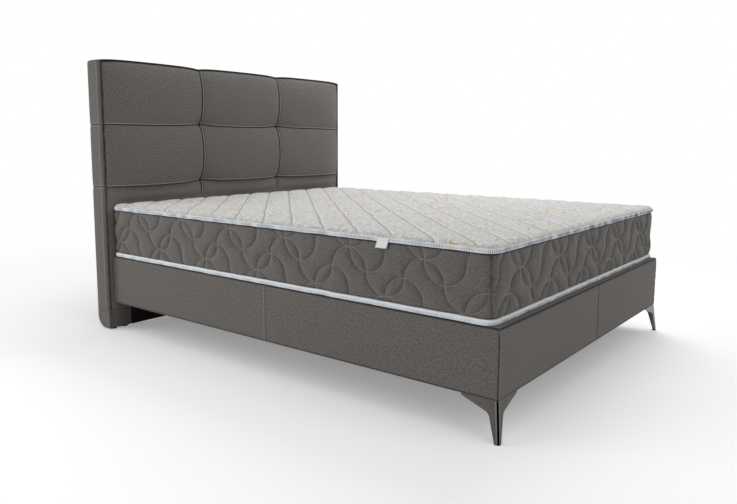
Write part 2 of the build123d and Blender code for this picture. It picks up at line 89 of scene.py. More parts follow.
CAMERA_TURN = (-52.073, -7.172, 0.274)
CAMERA_SHIFT = -0.0348


def written(red, green, blue):
    """A colour as the eye reads it, 0 to 255, turned into linear light."""
    share = np.array([red, green, blue]) / 255
    linear = np.where(share <= 0.04045, share / 12.92, ((share + 0.055) / 1.055) ** 2.4)
    return tuple(float(x) for x in linear)


def colour_property(name, description, rgb):
    """A colour setting, its default given from 0 to 255 as the eye reads it."""
    return FloatVectorProperty(
        name=name,
        description=description,
        subtype="COLOR",
        size=3,
        min=0,
        max=1,
        default=written(*rgb),
    )


def number_property(name, description, value, unit="NONE"):
    """A plain setting."""
    return FloatProperty(name=name, description=description, default=value, unit=unit, precision=4)


def length_property(name, description, metres):
    """A setting in metres."""
    return number_property(name, description, metres, "LENGTH")


# Settings a user would change


class FabricLook(bpy.types.PropertyGroup):
    upholstery: colour_property("Upholstery", "Colour of the woven cover", (104, 100, 96))
    thread: colour_property("Thread", "Colour of the topstitching", (120, 116, 111))
    weave_pitch: length_property("Weave", "Distance between two threads of the cover", 0.0021)
    backing: colour_property("Backing", "Colour of the dark lining cloth", (34, 30, 29))


class MattressLook(bpy.types.PropertyGroup):
    border: colour_property("Side band", "Colour of the quilted side band", (103, 99, 95))
    top: colour_property("Top", "Colour of the quilted knit", (217, 217, 215))
    fleck: colour_property("Flecks", "Colour of the strokes in the knit", (202, 164, 82))
    quilting: colour_property("Quilting", "Colour of the thread of the side band", (162, 158, 152))
    tape: colour_property("Tape", "Colour of the edge tapes", (244, 247, 250))
    stitch: colour_property("Tape stitches", "Colour of the stitches on the tapes", (88, 92, 102))
    leaf_radius: length_property("Leaf radius", "Radius of the sewn waves of the side band", 0.0773)
    leaf_depth: length_property("Leaf depth", "How far the sewn waves sink in", 0.0125)
    channel_pitch: length_property("Channels", "Distance between two sewn channels", 0.1085)
    cross_pitch: length_property("Cross channels", "Distance between two fainter channels", 0.1235)
    channel_depth: length_property("Channel depth", "How far the sewn channels sink in", 0.0046)


class HeadboardLook(bpy.types.PropertyGroup):
    crown: length_property("Crown", "How far a pad swells at its middle", 0.043)
    seam_rise: length_property("Seam rise", "How far a seam swells between crossings", 0.033)
    tuft_depth: length_property("Tuft depth", "How far a crossing sinks in", 0.016)
    flange: length_property("Flange", "How far the edge seam stands forward", 0.0038)
    lower_seam: length_property("Lower seam", "Height of the lower cross seam", 0.685)
    upper_seam: length_property("Upper seam", "Height of the upper cross seam", 0.977)


class BaseLook(bpy.types.PropertyGroup):
    corner: length_property("Corner", "Radius of the upright corners of the cover", 0.009)
    bulge: length_property("Bulge", "How far the cover swells over its foam", 0.0016)
    metal: colour_property("Legs", "Colour of the smoked metal", (84, 80, 77))


class StageLook(bpy.types.PropertyGroup):
    surround: number_property("Surround", "Plain light all round", 0.25)
    overhead: number_property("Overhead", "Strength of the top light", 0.48)
    front: number_property("Front", "Strength of the front light", 0.55)
    raking: number_property("Raking", "Strength of the low light", 0.5)
    left_panel: number_property("Left panel", "Soft panel beside the bed", 15, "POWER")
    head_panel: number_property("Head panel", "Soft panel by the headboard", 8.5, "POWER")
    top_panel: number_property("Top panel", "Soft panel above the bed", 54, "POWER")
    lens: number_property("Lens", "Focal length on a 36 mm sensor", 33.614, "CAMERA")


class BedLook(bpy.types.PropertyGroup):
    fabric: PointerProperty(type=FabricLook)
    mattress: PointerProperty(type=MattressLook)
    headboard: PointerProperty(type=HeadboardLook)
    base: PointerProperty(type=BaseLook)
    stage: PointerProperty(type=StageLook)


# Shader values and finishes


def math_node(operation, reflected=False):
    """A method of Flow that adds one Math node."""

    def method(self, *others):
        values = (*others, self) if reflected else (self, *others)
        return self.graph.math(operation, *values)

    return method


class Flow:
    """A shader value that takes part in Python arithmetic: each operator adds one Math node."""

    def __init__(self, graph, socket):
        self.graph = graph
        self.socket = socket

    __add__ = math_node("ADD")
    __radd__ = math_node("ADD", reflected=True)
    __sub__ = math_node("SUBTRACT")
    __rsub__ = math_node("SUBTRACT", reflected=True)
    __mul__ = math_node("MULTIPLY")
    __rmul__ = math_node("MULTIPLY", reflected=True)
    __truediv__ = math_node("DIVIDE")
    __mod__ = math_node("FLOORED_MODULO")
    __lt__ = math_node("LESS_THAN")
    __gt__ = math_node("GREATER_THAN")
    __abs__ = math_node("ABSOLUTE")
    most = math_node("MAXIMUM")
    least = math_node("MINIMUM")

    def wave(self, length):
        """From 0 to 1 and back over each length."""
        return self.graph.math("SINE", self * (TAU / length)) * 0.5 + 0.5


class Graph:
    """A node tree that is filled anew."""

    def __init__(self, tree):
        self.tree = tree
        tree.nodes.clear()

    def node(self, kind, settings=None, sockets=None):
        """Any node: its settings first, then the values or links of its sockets."""
        made = self.tree.nodes.new(kind)
        for key, value in (settings or {}).items():
            setattr(made, key, value)
        for key, value in (sockets or {}).items():
            self.feed(made.inputs[key], value)
        return made

    def feed(self, socket, value):
        """Links a shader value to a socket, or sets the socket to a plain value."""
        if isinstance(value, Flow):
            self.tree.links.new(value.socket, socket)
        else:
            socket.default_value = value

    def join(self, *links):
        """Each link runs from a node's first output to one input of another node."""
        for start, end, place in links:
            self.tree.links.new(start.outputs[0], end.inputs[place])

    def value(self, output, kind, settings=None, sockets=None):
        """One output of a new node."""
        return Flow(self, self.node(kind, settings, sockets).outputs[output])

    def math(self, operation, *values):
        """One Math node."""
        return self.value(0, "ShaderNodeMath", {"operation": operation}, dict(enumerate(values)))

    def white_seen(self):
        """1 for rays that show the surroundings: camera, glossy and transmission rays."""
        path = self.node("ShaderNodeLightPath")
        names = ("Is Camera Ray", "Is Glossy Ray", "Is Transmission Ray")
        camera, glossy, through = (Flow(self, path.outputs[name]) for name in names)
        return camera.most(glossy).most(through)


class Finish(Graph):
    """One procedural material round a Principled shader."""

    def __init__(self, name, colour, roughness=0.85, **constants):
        self.material = bpy.data.materials.new(name)
        self.material.use_nodes = True
        super().__init__(self.material.node_tree)
        self.colour = (*colour, 1)
        self.material.diffuse_color = self.colour
        fixed = {key.replace("_", " "): value for key, value in constants.items()}
        self.shader = self.node(
            "ShaderNodeBsdfPrincipled",
            sockets={"Base Color": self.colour, "Roughness": roughness, **fixed},
        )
        self.output = self.node("ShaderNodeOutputMaterial")
        self.join((self.shader, self.output, 0))

    def mix(self, factor, low, high):
        """From colour low to colour high."""
        settings = {"data_type": "RGBA", "clamp_factor": True}
        return self.value(2, "ShaderNodeMix", settings, {0: factor, 6: low, 7: high})

    def toned(self, share):
        """The material's own colour, darker or lighter."""
        return (*(part * share for part in self.colour[:3]), 1)

    def toward(self, shade, factor, share):
        """From a shade to a share of the material's own colour."""
        return self.mix(factor, shade, self.toned(share))

    def between(self, factor, low, high):
        """From one share of the material's own colour to another."""
        return self.mix(factor, self.toned(low), self.toned(high))

    def place(self):
        """Object coordinates."""
        return self.value("Object", "ShaderNodeTexCoord")

    def cloth_place(self):
        """The piece's own map, in metres along the cloth."""
        return self.value(0, "ShaderNodeUVMap", {"uv_map": "cloth"})

    def axes(self, vector):
        """The three parts of a vector."""
        made = self.node("ShaderNodeSeparateXYZ", sockets={0: vector})
        return [Flow(self, made.outputs[n]) for n in range(3)]

    def stretched(self, vector, amounts):
        """A vector with each part multiplied."""
        sockets = {"Vector": vector, "Scale": amounts}
        return self.value(0, "ShaderNodeMapping", {"vector_type": "POINT"}, sockets)

    def noise(self, vector, scale, detail=2.0, rough=0.5):
        """Smooth noise from 0 to 1."""
        sockets = {"Vector": vector, "Scale": scale, "Detail": detail, "Roughness": rough}
        return self.value(0, "ShaderNodeTexNoise", {"noise_dimensions": "3D"}, sockets)

    def scatter(self, vector, scale):
        """Distance to the nearest of many scattered points, in cells, and a chance for each."""
        made = self.node(
            "ShaderNodeTexVoronoi",
            {"voronoi_dimensions": "2D"},
            {"Vector": vector, "Scale": scale},
        )
        colour = Flow(self, made.outputs["Color"])
        chance = self.value(0, "ShaderNodeSeparateColor", sockets={0: colour})
        return Flow(self, made.outputs["Distance"]), chance

    def bell(self, distance, width):
        """1 at no distance, falling away over the width as a bell curve."""
        return self.math("EXPONENT", distance * distance * (-1 / width**2))

    def attribute(self, name):
        """A number that the mesh holds at each of its points."""
        return self.value("Fac", "ShaderNodeAttribute", {"attribute_name": name})

    def paint(self, colour, roughness=None, coat=None):
        """Links what changes over the surface."""
        for key, value in (("Base Color", colour), ("Roughness", roughness), ("Coat Weight", coat)):
            if value is not None:
                self.feed(self.shader.inputs[key], value)

    def emboss(self, height, metres, strength=1.0):
        """Bumps of height 0 to 1, scaled to metres. Gives back the finished material."""
        made = self.node(
            "ShaderNodeBump", sockets={"Height": height, "Distance": metres, "Strength": strength}
        )
        self.join((made, self.shader, "Normal"))
        return self.material


def weave_height(finish, pitch):
    """Threads over and under each other: two sine waves cross, and a twill line leans over them."""
    along, up, _ = finish.axes(finish.cloth_place())
    warp = along.wave(pitch)
    weft = up.wave(pitch * 1.15)
    twill = (along + up).wave(pitch * 2.6)
    return warp * 0.35 + weft * 0.4 + twill * 0.25


def cloth_finish(name, colour, pitch, speck=1.0, depth=0.0006, sheen=0.12):
    """Woven cloth of yarns in two tones: threads over and under each other, a speckle where light
    and dark yarns lie on top, and slow changes of tone."""
    made = Finish(
        name, colour, 0.9, Sheen_Weight=sheen, Sheen_Roughness=0.5, Specular_IOR_Level=0.25
    )
    threads = weave_height(made, pitch)
    place = made.cloth_place()
    yarns = made.noise(place, 105, 3.0, 0.85)
    fibres = made.noise(place, 300, 1.0, 0.5)
    slow = made.noise(made.place(), 7, 3.0, 0.55)
    speckle = (yarns - 0.5) * (1.8 * speck) + (fibres - 0.5) * (1.6 * speck)
    tone = (threads - 0.5) * 0.16 + speckle + (slow - 0.5) * 0.1
    shade = made.between(tone + 0.5, 0.50, 1.50)
    made.paint(colour=shade, roughness=yarns * 0.1 + 0.84)
    made.emboss(threads * 0.9 + yarns * 0.1, depth, 0.6)
    return made, shade, threads, yarns


def upholstery_finish(look, name):
    """The woven cover where nothing is sewn on it."""
    made, *_ = cloth_finish(name, look.fabric.upholstery, look.fabric.weave_pitch)
    return made.material


def sewn_upholstery_finish(look, name):
    """Upholstery with painted shade in its creases, a painted highlight on its folds, and its
    topstitching where the stitch attribute peaks.
    """
    made, shade, *_ = cloth_finish(name, look.fabric.upholstery, look.fabric.weave_pitch)
    along, up, _ = made.axes(made.cloth_place())
    dash = 0.0065
    upright = made.attribute("stitch") * ((up.wave(dash) * 3.2) - 0.7).least(1).most(0)
    level = made.attribute("level_stitch") * ((along.wave(dash) * 3.2) - 0.7).least(1).most(0)
    stitch = upright.most(level)
    # Painted highlight: the fold attribute lightens the colour towards 2.5 times its own
    lit = made.toward(shade, made.attribute("fold") * 0.85, 2.5)
    # Painted shade: the crease attribute darkens the colour to near black
    painted_crease_shade = made.toward(lit, made.attribute("crease") * 0.96, 0.05)
    sewn = made.mix(stitch * 0.5, painted_crease_shade, (*look.fabric.thread, 1))
    made.paint(colour=sewn)
    return made.material


def backing_finish(look):
    """Pressed fibre cloth: fibres lie every way, with a grid of small pressed dots."""
    colour = look.fabric.backing
    made = Finish("backing_cloth_pressed", colour, 0.95, Specular_IOR_Level=0.15)
    along, up, _ = made.axes(made.cloth_place())
    dots = along.wave(0.004) * up.wave(0.004)
    fibres = made.noise(made.cloth_place(), 420, 3.0, 0.7)
    shade = made.between(fibres * 0.7 + dots * 0.2, 0.6, 1.7)
    made.paint(colour=shade, roughness=fibres * 0.1 + 0.85)
    return made.emboss(dots * 0.5 + fibres * 0.5, 0.0004)


# Meshes from grids of points


class Shell:
    """Grids of points and flat caps that become one mesh.

    A grid's columns run right and its rows run up as seen from outside, so faces point outwards.
    """

    def __init__(self):
        self.points = []
        self.quads = []
        self.quad_uv = []
        self.caps = []
        self.cap_uv = []
        self.fields = {}
        self.count = 0

    def grid(self, points, uv, wrap_rows=False, wrap_cols=False, **fields):
        """Adds rows by columns of points, and gives back their numbers in the mesh."""
        rows, cols = points.shape[:2]
        numbers = self.count + np.arange(rows * cols).reshape(rows, cols)
        self.points.append(points.reshape(-1, 3))
        self.count += rows * cols
        row, col = np.meshgrid(
            np.arange(rows if wrap_rows else rows - 1),
            np.arange(cols if wrap_cols else cols - 1),
            indexing="ij",
        )
        up, right = (row + 1) % rows, (col + 1) % cols
        corners = [numbers[row, col], numbers[row, right], numbers[up, right], numbers[up, col]]
        self.quads.append(np.stack(corners, -1).reshape(-1, 4))
        uvs = [uv[row, col], uv[row, col + 1], uv[row + 1, col + 1], uv[row + 1, col]]
        self.quad_uv.append(np.stack(uvs, -2).reshape(-1, 2))
        for key in {**self.fields, **fields}:
            start = self.count - rows * cols
            known = self.fields.get(key, np.zeros(start))
            added = fields.get(key, np.zeros((rows, cols)))
            known = np.concatenate([known, np.zeros(start - len(known))])
            self.fields[key] = np.concatenate([known, np.broadcast_to(added, (rows, cols)).ravel()])
        return numbers

    def cap(self, ring, uv):
        """Closes a ring of point numbers with one flat face."""
        self.caps.append([int(n) for n in ring])
        self.cap_uv.append(uv.reshape(-1, 2))

    def build(self, name):
        """Makes the piece, with its map, and its fields as attributes."""
        points = np.concatenate(self.points)
        quads = np.concatenate(self.quads)
        mesh = bpy.data.meshes.new(name)
        mesh.from_pydata(points.tolist(), [], quads.tolist() + self.caps)
        uv = np.concatenate(self.quad_uv + self.cap_uv).astype(np.float32)
        mesh.uv_layers.new(name="cloth").data.foreach_set("uv", uv.ravel())
        smooth = np.arange(len(mesh.polygons)) < len(quads)
        mesh.polygons.foreach_set("use_smooth", smooth)
        for key, values in self.fields.items():
            full = np.zeros(len(points), np.float32)
            full[: len(values)] = values
            mesh.attributes.new(key, "FLOAT", "POINT").data.foreach_set("value", full)
        mesh.update()
        return linked(name, mesh)


def linked(name, data):
    """A new object with this mesh, light or camera, in the scene."""
    made = bpy.data.objects.new(name, data)
    bpy.context.scene.collection.objects.link(made)
    return made


def rim(numbers):
    """The edge of a grid of point numbers, walked once round."""
    return np.concatenate(
        [numbers[0, :], numbers[1:, -1], numbers[-1, -2::-1], numbers[-2:0:-1, 0]]
    )


def merge_doubles(piece):
    """Joins the rows of points that two grids share."""
    edit = bmesh.new()
    edit.from_mesh(piece.data)
    bmesh.ops.remove_doubles(edit, verts=edit.verts, dist=DOUBLES)
    edit.to_mesh(piece.data)
    edit.free()
    piece.data.update()


def skirted(name, shell, numbers, points, axis, place, reach):
    """Closes a grid by a skirt back to a flat face at one place on an axis, and builds it."""
    flat = points.reshape(-1, 3)[rim(numbers)]
    back = flat.copy()
    back[:, axis] = place
    steps = np.linalg.norm(np.roll(flat, -1, 0) - flat, axis=1)
    walk = running(steps)
    uv = np.stack(np.meshgrid(walk, [0, reach]), -1)
    ring = shell.grid(np.stack([back, flat]), uv, wrap_cols=True)
    shell.cap(ring[0][::-1], np.delete(back[::-1], axis, 1))
    piece = shell.build(name)
    merge_doubles(piece)
    return piece


def two_faced(name, front, back, uv, back_uv):
    """A thin sheet: a front and a back grid, joined all round."""
    shell = Shell()
    edge = rim(shell.grid(front, uv))
    inner = rim(shell.grid(back[:, ::-1], back_uv)[:, ::-1])
    shell.quads.append(np.stack([inner, np.roll(inner, -1), np.roll(edge, -1), edge], -1))
    shell.quad_uv.append(np.zeros((len(edge) * 4, 2)))
    return shell.build(name)


def paint_over(piece, material):
    """Gives a piece this one material."""
    piece.data.materials.clear()
    piece.data.materials.append(material)


def dress(piece, body, material, stands_for=()):
    """Gives a new piece its material and body, and hides the nodes it stands for."""
    paint_over(piece, material)
    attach(piece, body)
    if stands_for:
        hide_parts(*stands_for)


def spaced(low, high, coarse, fine=None, spots=(), reach=0.03):
    """Places from low to high. Their spacing narrows from coarse to fine within reach of a spot."""
    fine_line = np.linspace(low, high, 6001)
    gap = np.full_like(fine_line, coarse)
    for spot in spots:
        near = np.clip(2 - np.abs(fine_line - spot) / (reach * 0.5), 0, 1)
        gap = np.minimum(gap, coarse + (fine - coarse) * near)
    steps = (1 / gap[1:] + 1 / gap[:-1]) / 2 * np.diff(fine_line)
    count = running(steps)
    total = max(2, int(round(count[-1])) + 1)
    return np.interp(np.linspace(0, count[-1], total), count, fine_line)


def ripple(x, y, length, seed, waves=9):
    """Slow uneven change from -1 to 1: sine waves of about one length run in seeded directions."""
    rng = np.random.default_rng(seed)
    turns = rng.uniform(0, TAU, waves)
    lengths = length * rng.uniform(0.6, 1.7, waves)
    starts = rng.uniform(0, TAU, waves)
    total = 0
    for turn, one, start in zip(turns, lengths, starts):
        total = total + np.sin((x * np.cos(turn) + y * np.sin(turn)) * TAU / one + start)
    return total / math.sqrt(waves) / 1.4


def running(steps):
    """Sums so far, from 0."""
    return np.concatenate([[0], np.cumsum(steps)])


def bell(distance, width):
    """1 at no distance, falling away over the width as a bell curve."""
    return np.exp(-((distance / width) ** 2))


class Plan:
    """A rounded rectangle walked anticlockwise from the middle of its head end.

    Each side and each corner keeps its count of places, so rings at different offsets match.
    """

    def __init__(self, half_x, foot_y, head_y, radius, step, corner_count, side_places=None):
        self.box = (half_x, foot_y, head_y, radius)
        self.corner = np.linspace(0, 1, corner_count + 1)[:-1]
        wide, long = half_x - radius, head_y - foot_y - 2 * radius
        lengths = {"half": wide, "left": long, "foot": 2 * wide, "right": long, "end": wide}
        self.sides = {
            name: np.linspace(0, 1, max(2, round(length / step)) + 1)[:-1]
            for name, length in lengths.items()
        }
        self.sides.update(side_places or {})

    def ring(self, offset=0.0):
        """Points and outward directions of the outline, moved outwards by offset."""
        half_x, foot_y, head_y, radius = self.box
        r = max(radius + offset, 0.0006)
        x, low, high = half_x + offset, foot_y - offset, head_y + offset
        cx, cl, ch = x - r, low + r, high - r
        sections = [
            ("half", (0, high), (-cx, high), (0, 1)),
            (90, (-cx, ch)),
            ("left", (-x, ch), (-x, cl), (-1, 0)),
            (180, (-cx, cl)),
            ("foot", (-cx, low), (cx, low), (0, -1)),
            (270, (cx, cl)),
            ("right", (x, cl), (x, ch), (1, 0)),
            (0, (cx, ch)),
            ("end", (cx, high), (0, high), (0, 1)),
        ]
        points, outward = [], []
        for section in sections:
            if len(section) == 4:
                name, start, end, facing = section
                share = self.sides[name][:, None]
                points.append(np.array(start) + share * (np.array(end) - np.array(start)))
                outward.append(np.broadcast_to(facing, (len(share), 2)))
            else:
                angle = np.radians(section[0] + 90 * self.corner)
                facing = np.stack([np.cos(angle), np.sin(angle)], -1)
                points.append(np.array(section[1]) + r * facing)
                outward.append(facing)
        return np.concatenate(points), np.concatenate(outward).astype(float)

    def arc(self):
        """Distance walked along the outline at each place, with the whole length added last."""
        points, _ = self.ring()
        steps = np.linalg.norm(np.roll(points, -1, 0) - points, axis=1)
        return running(steps)

    def starts(self):
        """The number of the first place of each section."""
        names = ["half", "c1", "left", "c2", "foot", "c3", "right", "c4", "end"]
        counts = [len(self.sides.get(name, self.corner)) for name in names]
        return dict(zip(names, running(counts)))

    def corner_seams(self):
        """Metres walked to the middle of each corner."""
        arc, starts = self.arc(), self.starts()
        half_corner = math.pi * self.box[3] / 4
        return [arc[starts[name]] + half_corner for name in ("c1", "c2", "c3", "c4")]


def wrapped(values):
    """A row of values with the first again at the end."""
    return np.concatenate([values, values[:1]])


def plan_rows(plan, offsets, heights, swell):
    """Carries a profile round a plan: each row is a ring at its own offset and height.

    swell, rows by places, is added along the outward direction.
    """
    rows = []
    for number, (offset, height) in enumerate(zip(offsets, heights)):
        points, outward = plan.ring(offset)
        points = points + outward * swell[number][:, None]
        rows.append(np.column_stack([points, np.full(len(points), height)]))
    return np.stack(rows)


def profile_uv(plan, offsets, heights):
    """Metres round the plan and metres along the closed profile."""
    steps = np.hypot(np.diff(wrapped(offsets)), np.diff(wrapped(heights)))
    along = running(steps)
    return np.stack(np.meshgrid(plan.arc(), along), -1)


def plan_piece(name, plan, offsets, heights, points, **fields):
    """A closed profile carried round a plan, with its map in metres."""
    shell = Shell()
    shell.grid(points, profile_uv(plan, offsets, heights), True, True, **fields)
    return shell.build(name)


# Mattress


def mattress_box():
    """The mattress's outline and the heights of its seams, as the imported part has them."""
    low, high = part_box("mattress_bottom_tape")
    border_low, border_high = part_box("mattress_border")
    _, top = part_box("mattress_top_tape")
    proud = 0.0025
    return {
        "half_x": high.x - proud,
        "radius": 0.030,
        "foot_y": low.y + proud,
        "head_y": high.y - proud,
        "low_z": low.z,
        "band_low": border_low.z,
        "band_high": border_high.z,
        "top_z": top.z,
        "crown_z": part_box("mattress_top_panel")[1].z,
    }


def mattress_plan(box, step, corner_count):
    """The mattress's outline with this step along its sides."""
    return Plan(box["half_x"], box["foot_y"], box["head_y"], box["radius"], step, corner_count)


def wave_distance(across, above, radius):
    """Signed distance to a wave of half circles, turned up and down in turn: plus above it.

    Each half circle counts where the point is on its own side, and its two ends elsewhere.
    """
    period = 4 * radius
    crest = np.mod(across + 2 * radius, period) - 2 * radius
    trough = np.mod(across, period) - 2 * radius
    to_crest = np.where(
        above >= 0,
        np.abs(np.hypot(crest, above) - radius),
        np.hypot(np.abs(crest) - radius, above),
    )
    to_trough = np.where(
        above <= 0,
        np.abs(np.hypot(trough, above) - radius),
        np.hypot(np.abs(trough) - radius, above),
    )
    over_crest = above > np.sqrt(np.clip(radius**2 - crest**2, 0, None))
    over_trough = above > -np.sqrt(np.clip(radius**2 - trough**2, 0, None))
    over = np.where(np.abs(crest) <= radius, over_crest, over_trough)
    return np.minimum(to_crest, to_trough) * np.where(over, 1, -1)


def leaf_waves(across, above, radius):
    """The signed distances of five waves, each one radius up or down and one radius back from the
    next, so that neighbours cross in leaves."""
    return [
        wave_distance(across + abs(step) * radius, above - step * radius, radius)
        for step in range(-2, 3)
    ]


# For each side: where its first wave starts, the height of its waves' middle line at the side's
# near corner, and the slope of that line
BAND_PATTERN = {
    "left": (-0.249, 0.4515, -0.0252),
    "foot": (0.187, 0.4385, -0.0155),
    "right": (0.12, 0.452, -0.006),
    "head": (0.2, 0.450, 0.004),
}


def band_places(plan):
    """For each place round the band: which side it is on, metres from that side's near corner, and
    metres to the nearest corner seam, counted up along the walk."""
    arc, starts = plan.arc(), plan.starts()
    total = arc[-1]
    radius = plan.box[3]
    seams = np.array(plan.corner_seams())
    s = arc[:-1]
    offsets = s[None, :] - seams[:, None]
    walked = np.take_along_axis(offsets, np.abs(offsets).argmin(0)[None, :], 0)[0]
    side = np.digitize(s, seams)
    across = np.select(
        [side == 1, side == 2, side == 3],
        [
            s - (arc[starts["c2"]] + radius),
            s - (arc[starts["foot"]] - radius),
            s - (arc[starts["right"]] - radius),
        ],
        np.mod(s - (arc[starts["end"]] - radius), total),
    )
    return side, across, walked


def seam_offset(walked, share):
    """Metres to the corner seam, which leans a little towards the left side as it rises."""
    return walked[None, :] + CORNER_LEAN * share


def band_waves(plan, heights, radius):
    """leaf_waves over the whole band, rows of heights by places, each side with its own phase."""
    side, across, _ = band_places(plan)
    order = ["head", "left", "foot", "right", "head"]
    first, middle, slope = np.array([BAND_PATTERN[name] for name in order])[side].T
    line = middle + slope * across
    above = (heights[:, None] - line[None, :]) * LEAF_HEIGHT
    wander = 0.0022 * ripple(across * 3, heights[:, None] * 3, 0.8, 11)
    reach = across[None, :] - first[None, :] + wander
    return leaf_waves(reach, above + wander, radius)


def mattress_side_band(look, box):
    """The quilted side band: an outline walked round at rows of heights.

    It swells between the tapes, sinks towards each sewn line as 1 - exp(-distance / width), and is
    drawn in at the four upright corner seams, with short folds beside them.
    """
    plan = mattress_plan(box, 0.0043, 20)
    low, high = box["band_low"] - 0.002, box["band_high"] + 0.002
    heights = np.linspace(low, high, 48)
    waves = band_waves(plan, heights, look.mattress.leaf_radius)
    distance = np.min(np.abs(waves), axis=0)
    share = ((heights - low) / (high - low))[:, None]
    edge = np.minimum(heights - low, high - heights)
    tuck = (1 - np.exp(-edge / 0.009))[:, None]
    depth = look.mattress.leaf_depth
    _, across, walked = band_places(plan)
    to_seam = seam_offset(walked, share)
    puff = depth * (1 - np.exp(-distance / 0.0125))
    swell = 0.0018 * np.sin(np.pi * share) + puff * tuck
    swell = swell + 0.0012 * tuck * ripple(across[None, :], heights[:, None], 0.05, 5)
    beside = np.abs(to_seam)
    folds = np.sin(heights[:, None] * TAU / 0.027 + 2.5 * np.sin(heights[:, None] * 70))
    swell = swell - bell(beside, 0.018) * (0.0020 + 0.0016 * folds * np.where(to_seam > 0, 1, 0.3))
    swell = swell - 0.0022 * bell(beside, 0.0022)
    swell = swell + 0.0010 * (1 - tuck)
    offsets = np.concatenate([np.full(len(heights), -0.0076), [-0.0135, -0.0135]])
    tops = np.concatenate([heights, [high, low]])
    swell = np.vstack([swell, np.zeros((2, swell.shape[1]))])
    points = plan_rows(plan, offsets, tops, swell)
    far = np.ones((2, distance.shape[1]))
    sewn = {f"wave_{n}": np.vstack([wave, far]) for n, wave in enumerate(waves)}
    # Painted shade for the crease attribute: a dark line under the top tape, a fainter one over the
    # bottom tape, and one along each corner seam
    under_tape = bell(np.clip(high - 0.0042 - heights, 0, None), 0.0030)[:, None]
    over_tape = 0.5 * bell(np.clip(heights - low - 0.0030, 0, None), 0.0030)[:, None]
    crease = np.maximum(0.5 * bell(beside, 0.0015), np.maximum(under_tape, over_tape))
    sewn["crease"] = np.vstack([crease, far * 0])
    return plan_piece("mattress_side_band", plan, offsets, tops, points, **sewn)


def side_band_finish(look):
    """Brushed knit of the side band: fine loops, a soft groove with painted shade in it and a paler
    thread along each sewn line, and painted shade where the crease attribute peaks."""
    made, shade, threads, yarns = cloth_finish(
        "side_band_knit", look.mattress.border, 0.0019, speck=0.8, depth=0.0005, sheen=0.2
    )
    distance = abs(made.attribute("wave_0"))
    for number in range(1, 5):
        distance = distance.least(abs(made.attribute(f"wave_{number}")))
    groove = made.math("EXPONENT", distance * -230)
    thread = made.bell(distance, 0.0015)
    crease = made.attribute("crease")
    # Painted shade in the groove along each sewn line
    darker = made.toward(shade, groove * 0.35, 0.30)
    sewn = made.mix(thread * 0.60, darker, (*look.mattress.quilting, 1))
    # Painted shade under the top tape, over the bottom tape and along the corner seams
    seamed = made.toward(sewn, crease * 0.97, 0.05)
    made.paint(colour=seamed)
    return made.emboss(threads * 0.16 + yarns * 0.03 - groove * 0.8, 0.0020, 0.8)


def lattice(x, y, look):
    """Places across two families of slanting channels, and distances to each one's nearest."""
    board = look.mattress
    ways = ((x - y) / math.sqrt(2), (x + y) / math.sqrt(2))
    places = [way - start for way, start in zip(ways, CHANNEL_STARTS)]
    pitches = (board.channel_pitch, board.cross_pitch)
    nearest = [
        np.mod(place + pitch / 2, pitch) - pitch / 2 for place, pitch in zip(places, pitches)
    ]
    return places, nearest


def rounded_grid(xs, ys, radius):
    """A rectangular grid whose four corners are pulled into quarter discs.

    Inside a corner square, a point (p, q) goes to (p sqrt(1 - q q / 2), q sqrt(1 - p p / 2)).
    """
    x, y = np.meshgrid(xs, ys)
    half = xs[-1]
    low, high = ys[0], ys[-1]
    p = np.clip((np.abs(x) - (half - radius)) / radius, 0, 1)
    mid, reach = (low + high) / 2, (high - low) / 2
    q = np.clip((np.abs(y - mid) - (reach - radius)) / radius, 0, 1)
    px = p * np.sqrt(1 - q * q / 2)
    py = q * np.sqrt(1 - p * p / 2)
    x = np.where(p > 0, np.sign(x) * (half - radius + radius * px), x)
    y = np.where(q > 0, mid + np.sign(y - mid) * (reach - radius + radius * py), y)
    inside = np.minimum(half - np.abs(x), reach - np.abs(y - mid))
    corner = radius - np.hypot(
        np.abs(x) - (half - radius), np.abs(y - mid) - (reach - radius)
    )
    inside = np.where((p > 0) & (q > 0), corner, inside)
    return x, y, np.maximum(inside, 0)


def closed_slab(name, x, y, z, under_z, facing_up=True, **fields):
    """A grid surface closed by a skirt down to a flat underside."""
    points = np.stack([x, y, z], -1)
    uv = np.stack([x, y], -1)
    if not facing_up:
        points, uv = points[::-1], uv[::-1]
        fields = {key: value[::-1] for key, value in fields.items()}
    shell = Shell()
    numbers = shell.grid(points, uv, **fields)
    return skirted(name, shell, numbers, points, 2, under_z, abs(under_z - float(z.mean())))


def mattress_quilted_top(look, box):
    """The quilted top: a crowned plan with sewn channels in slanting squares.

    Height is the crown, a quarter ellipse from the tape inwards, plus the pad of each square, which
    falls along a bell curve towards the channels, less a thin crease along each channel's bottom.
    """
    inset = -TOP_OVERLAP
    xs = np.linspace(-box["half_x"] + inset, box["half_x"] - inset, 270)
    ys = np.linspace(box["foot_y"] + inset, box["head_y"] - inset, 336)
    x, y, inside = rounded_grid(xs, ys, box["radius"] - inset)
    wander = 0.0035
    wx = x + wander * ripple(x, y, 0.30, 21)
    wy = y + wander * ripple(x, y, 0.34, 22)
    places, (strong, weak) = lattice(wx, wy, look)
    channel = np.maximum(bell(strong, 0.015), 0.85 * bell(weak, 0.018))
    crease = np.maximum(bell(strong, 0.0060), 0.4 * bell(weak, 0.0060))
    rise = np.clip(inside / 0.05, 0, 1)
    crown = (box["crown_z"] - box["top_z"] - 0.003) * np.sqrt(1 - (1 - rise) ** 2)
    depth = look.mattress.channel_depth
    fade = np.clip(inside / 0.012, 0, 1)
    puckers = 0.0007 * np.sin((x + y) * TAU / 0.021) * bell(strong, 0.02)
    z = box["top_z"] + 0.0002 + crown + fade * (
        depth * (1 - channel) - 0.0012 * crease + 0.0009 * ripple(x, y, 0.05, 23) + puckers
    )
    z = z + 0.0010 * fade * ripple(x, y, 0.35, 24)
    return closed_slab(
        "mattress_quilted_top", x, y, z, box["top_z"] - 0.010,
        strong=places[0], weak=places[1],
    )


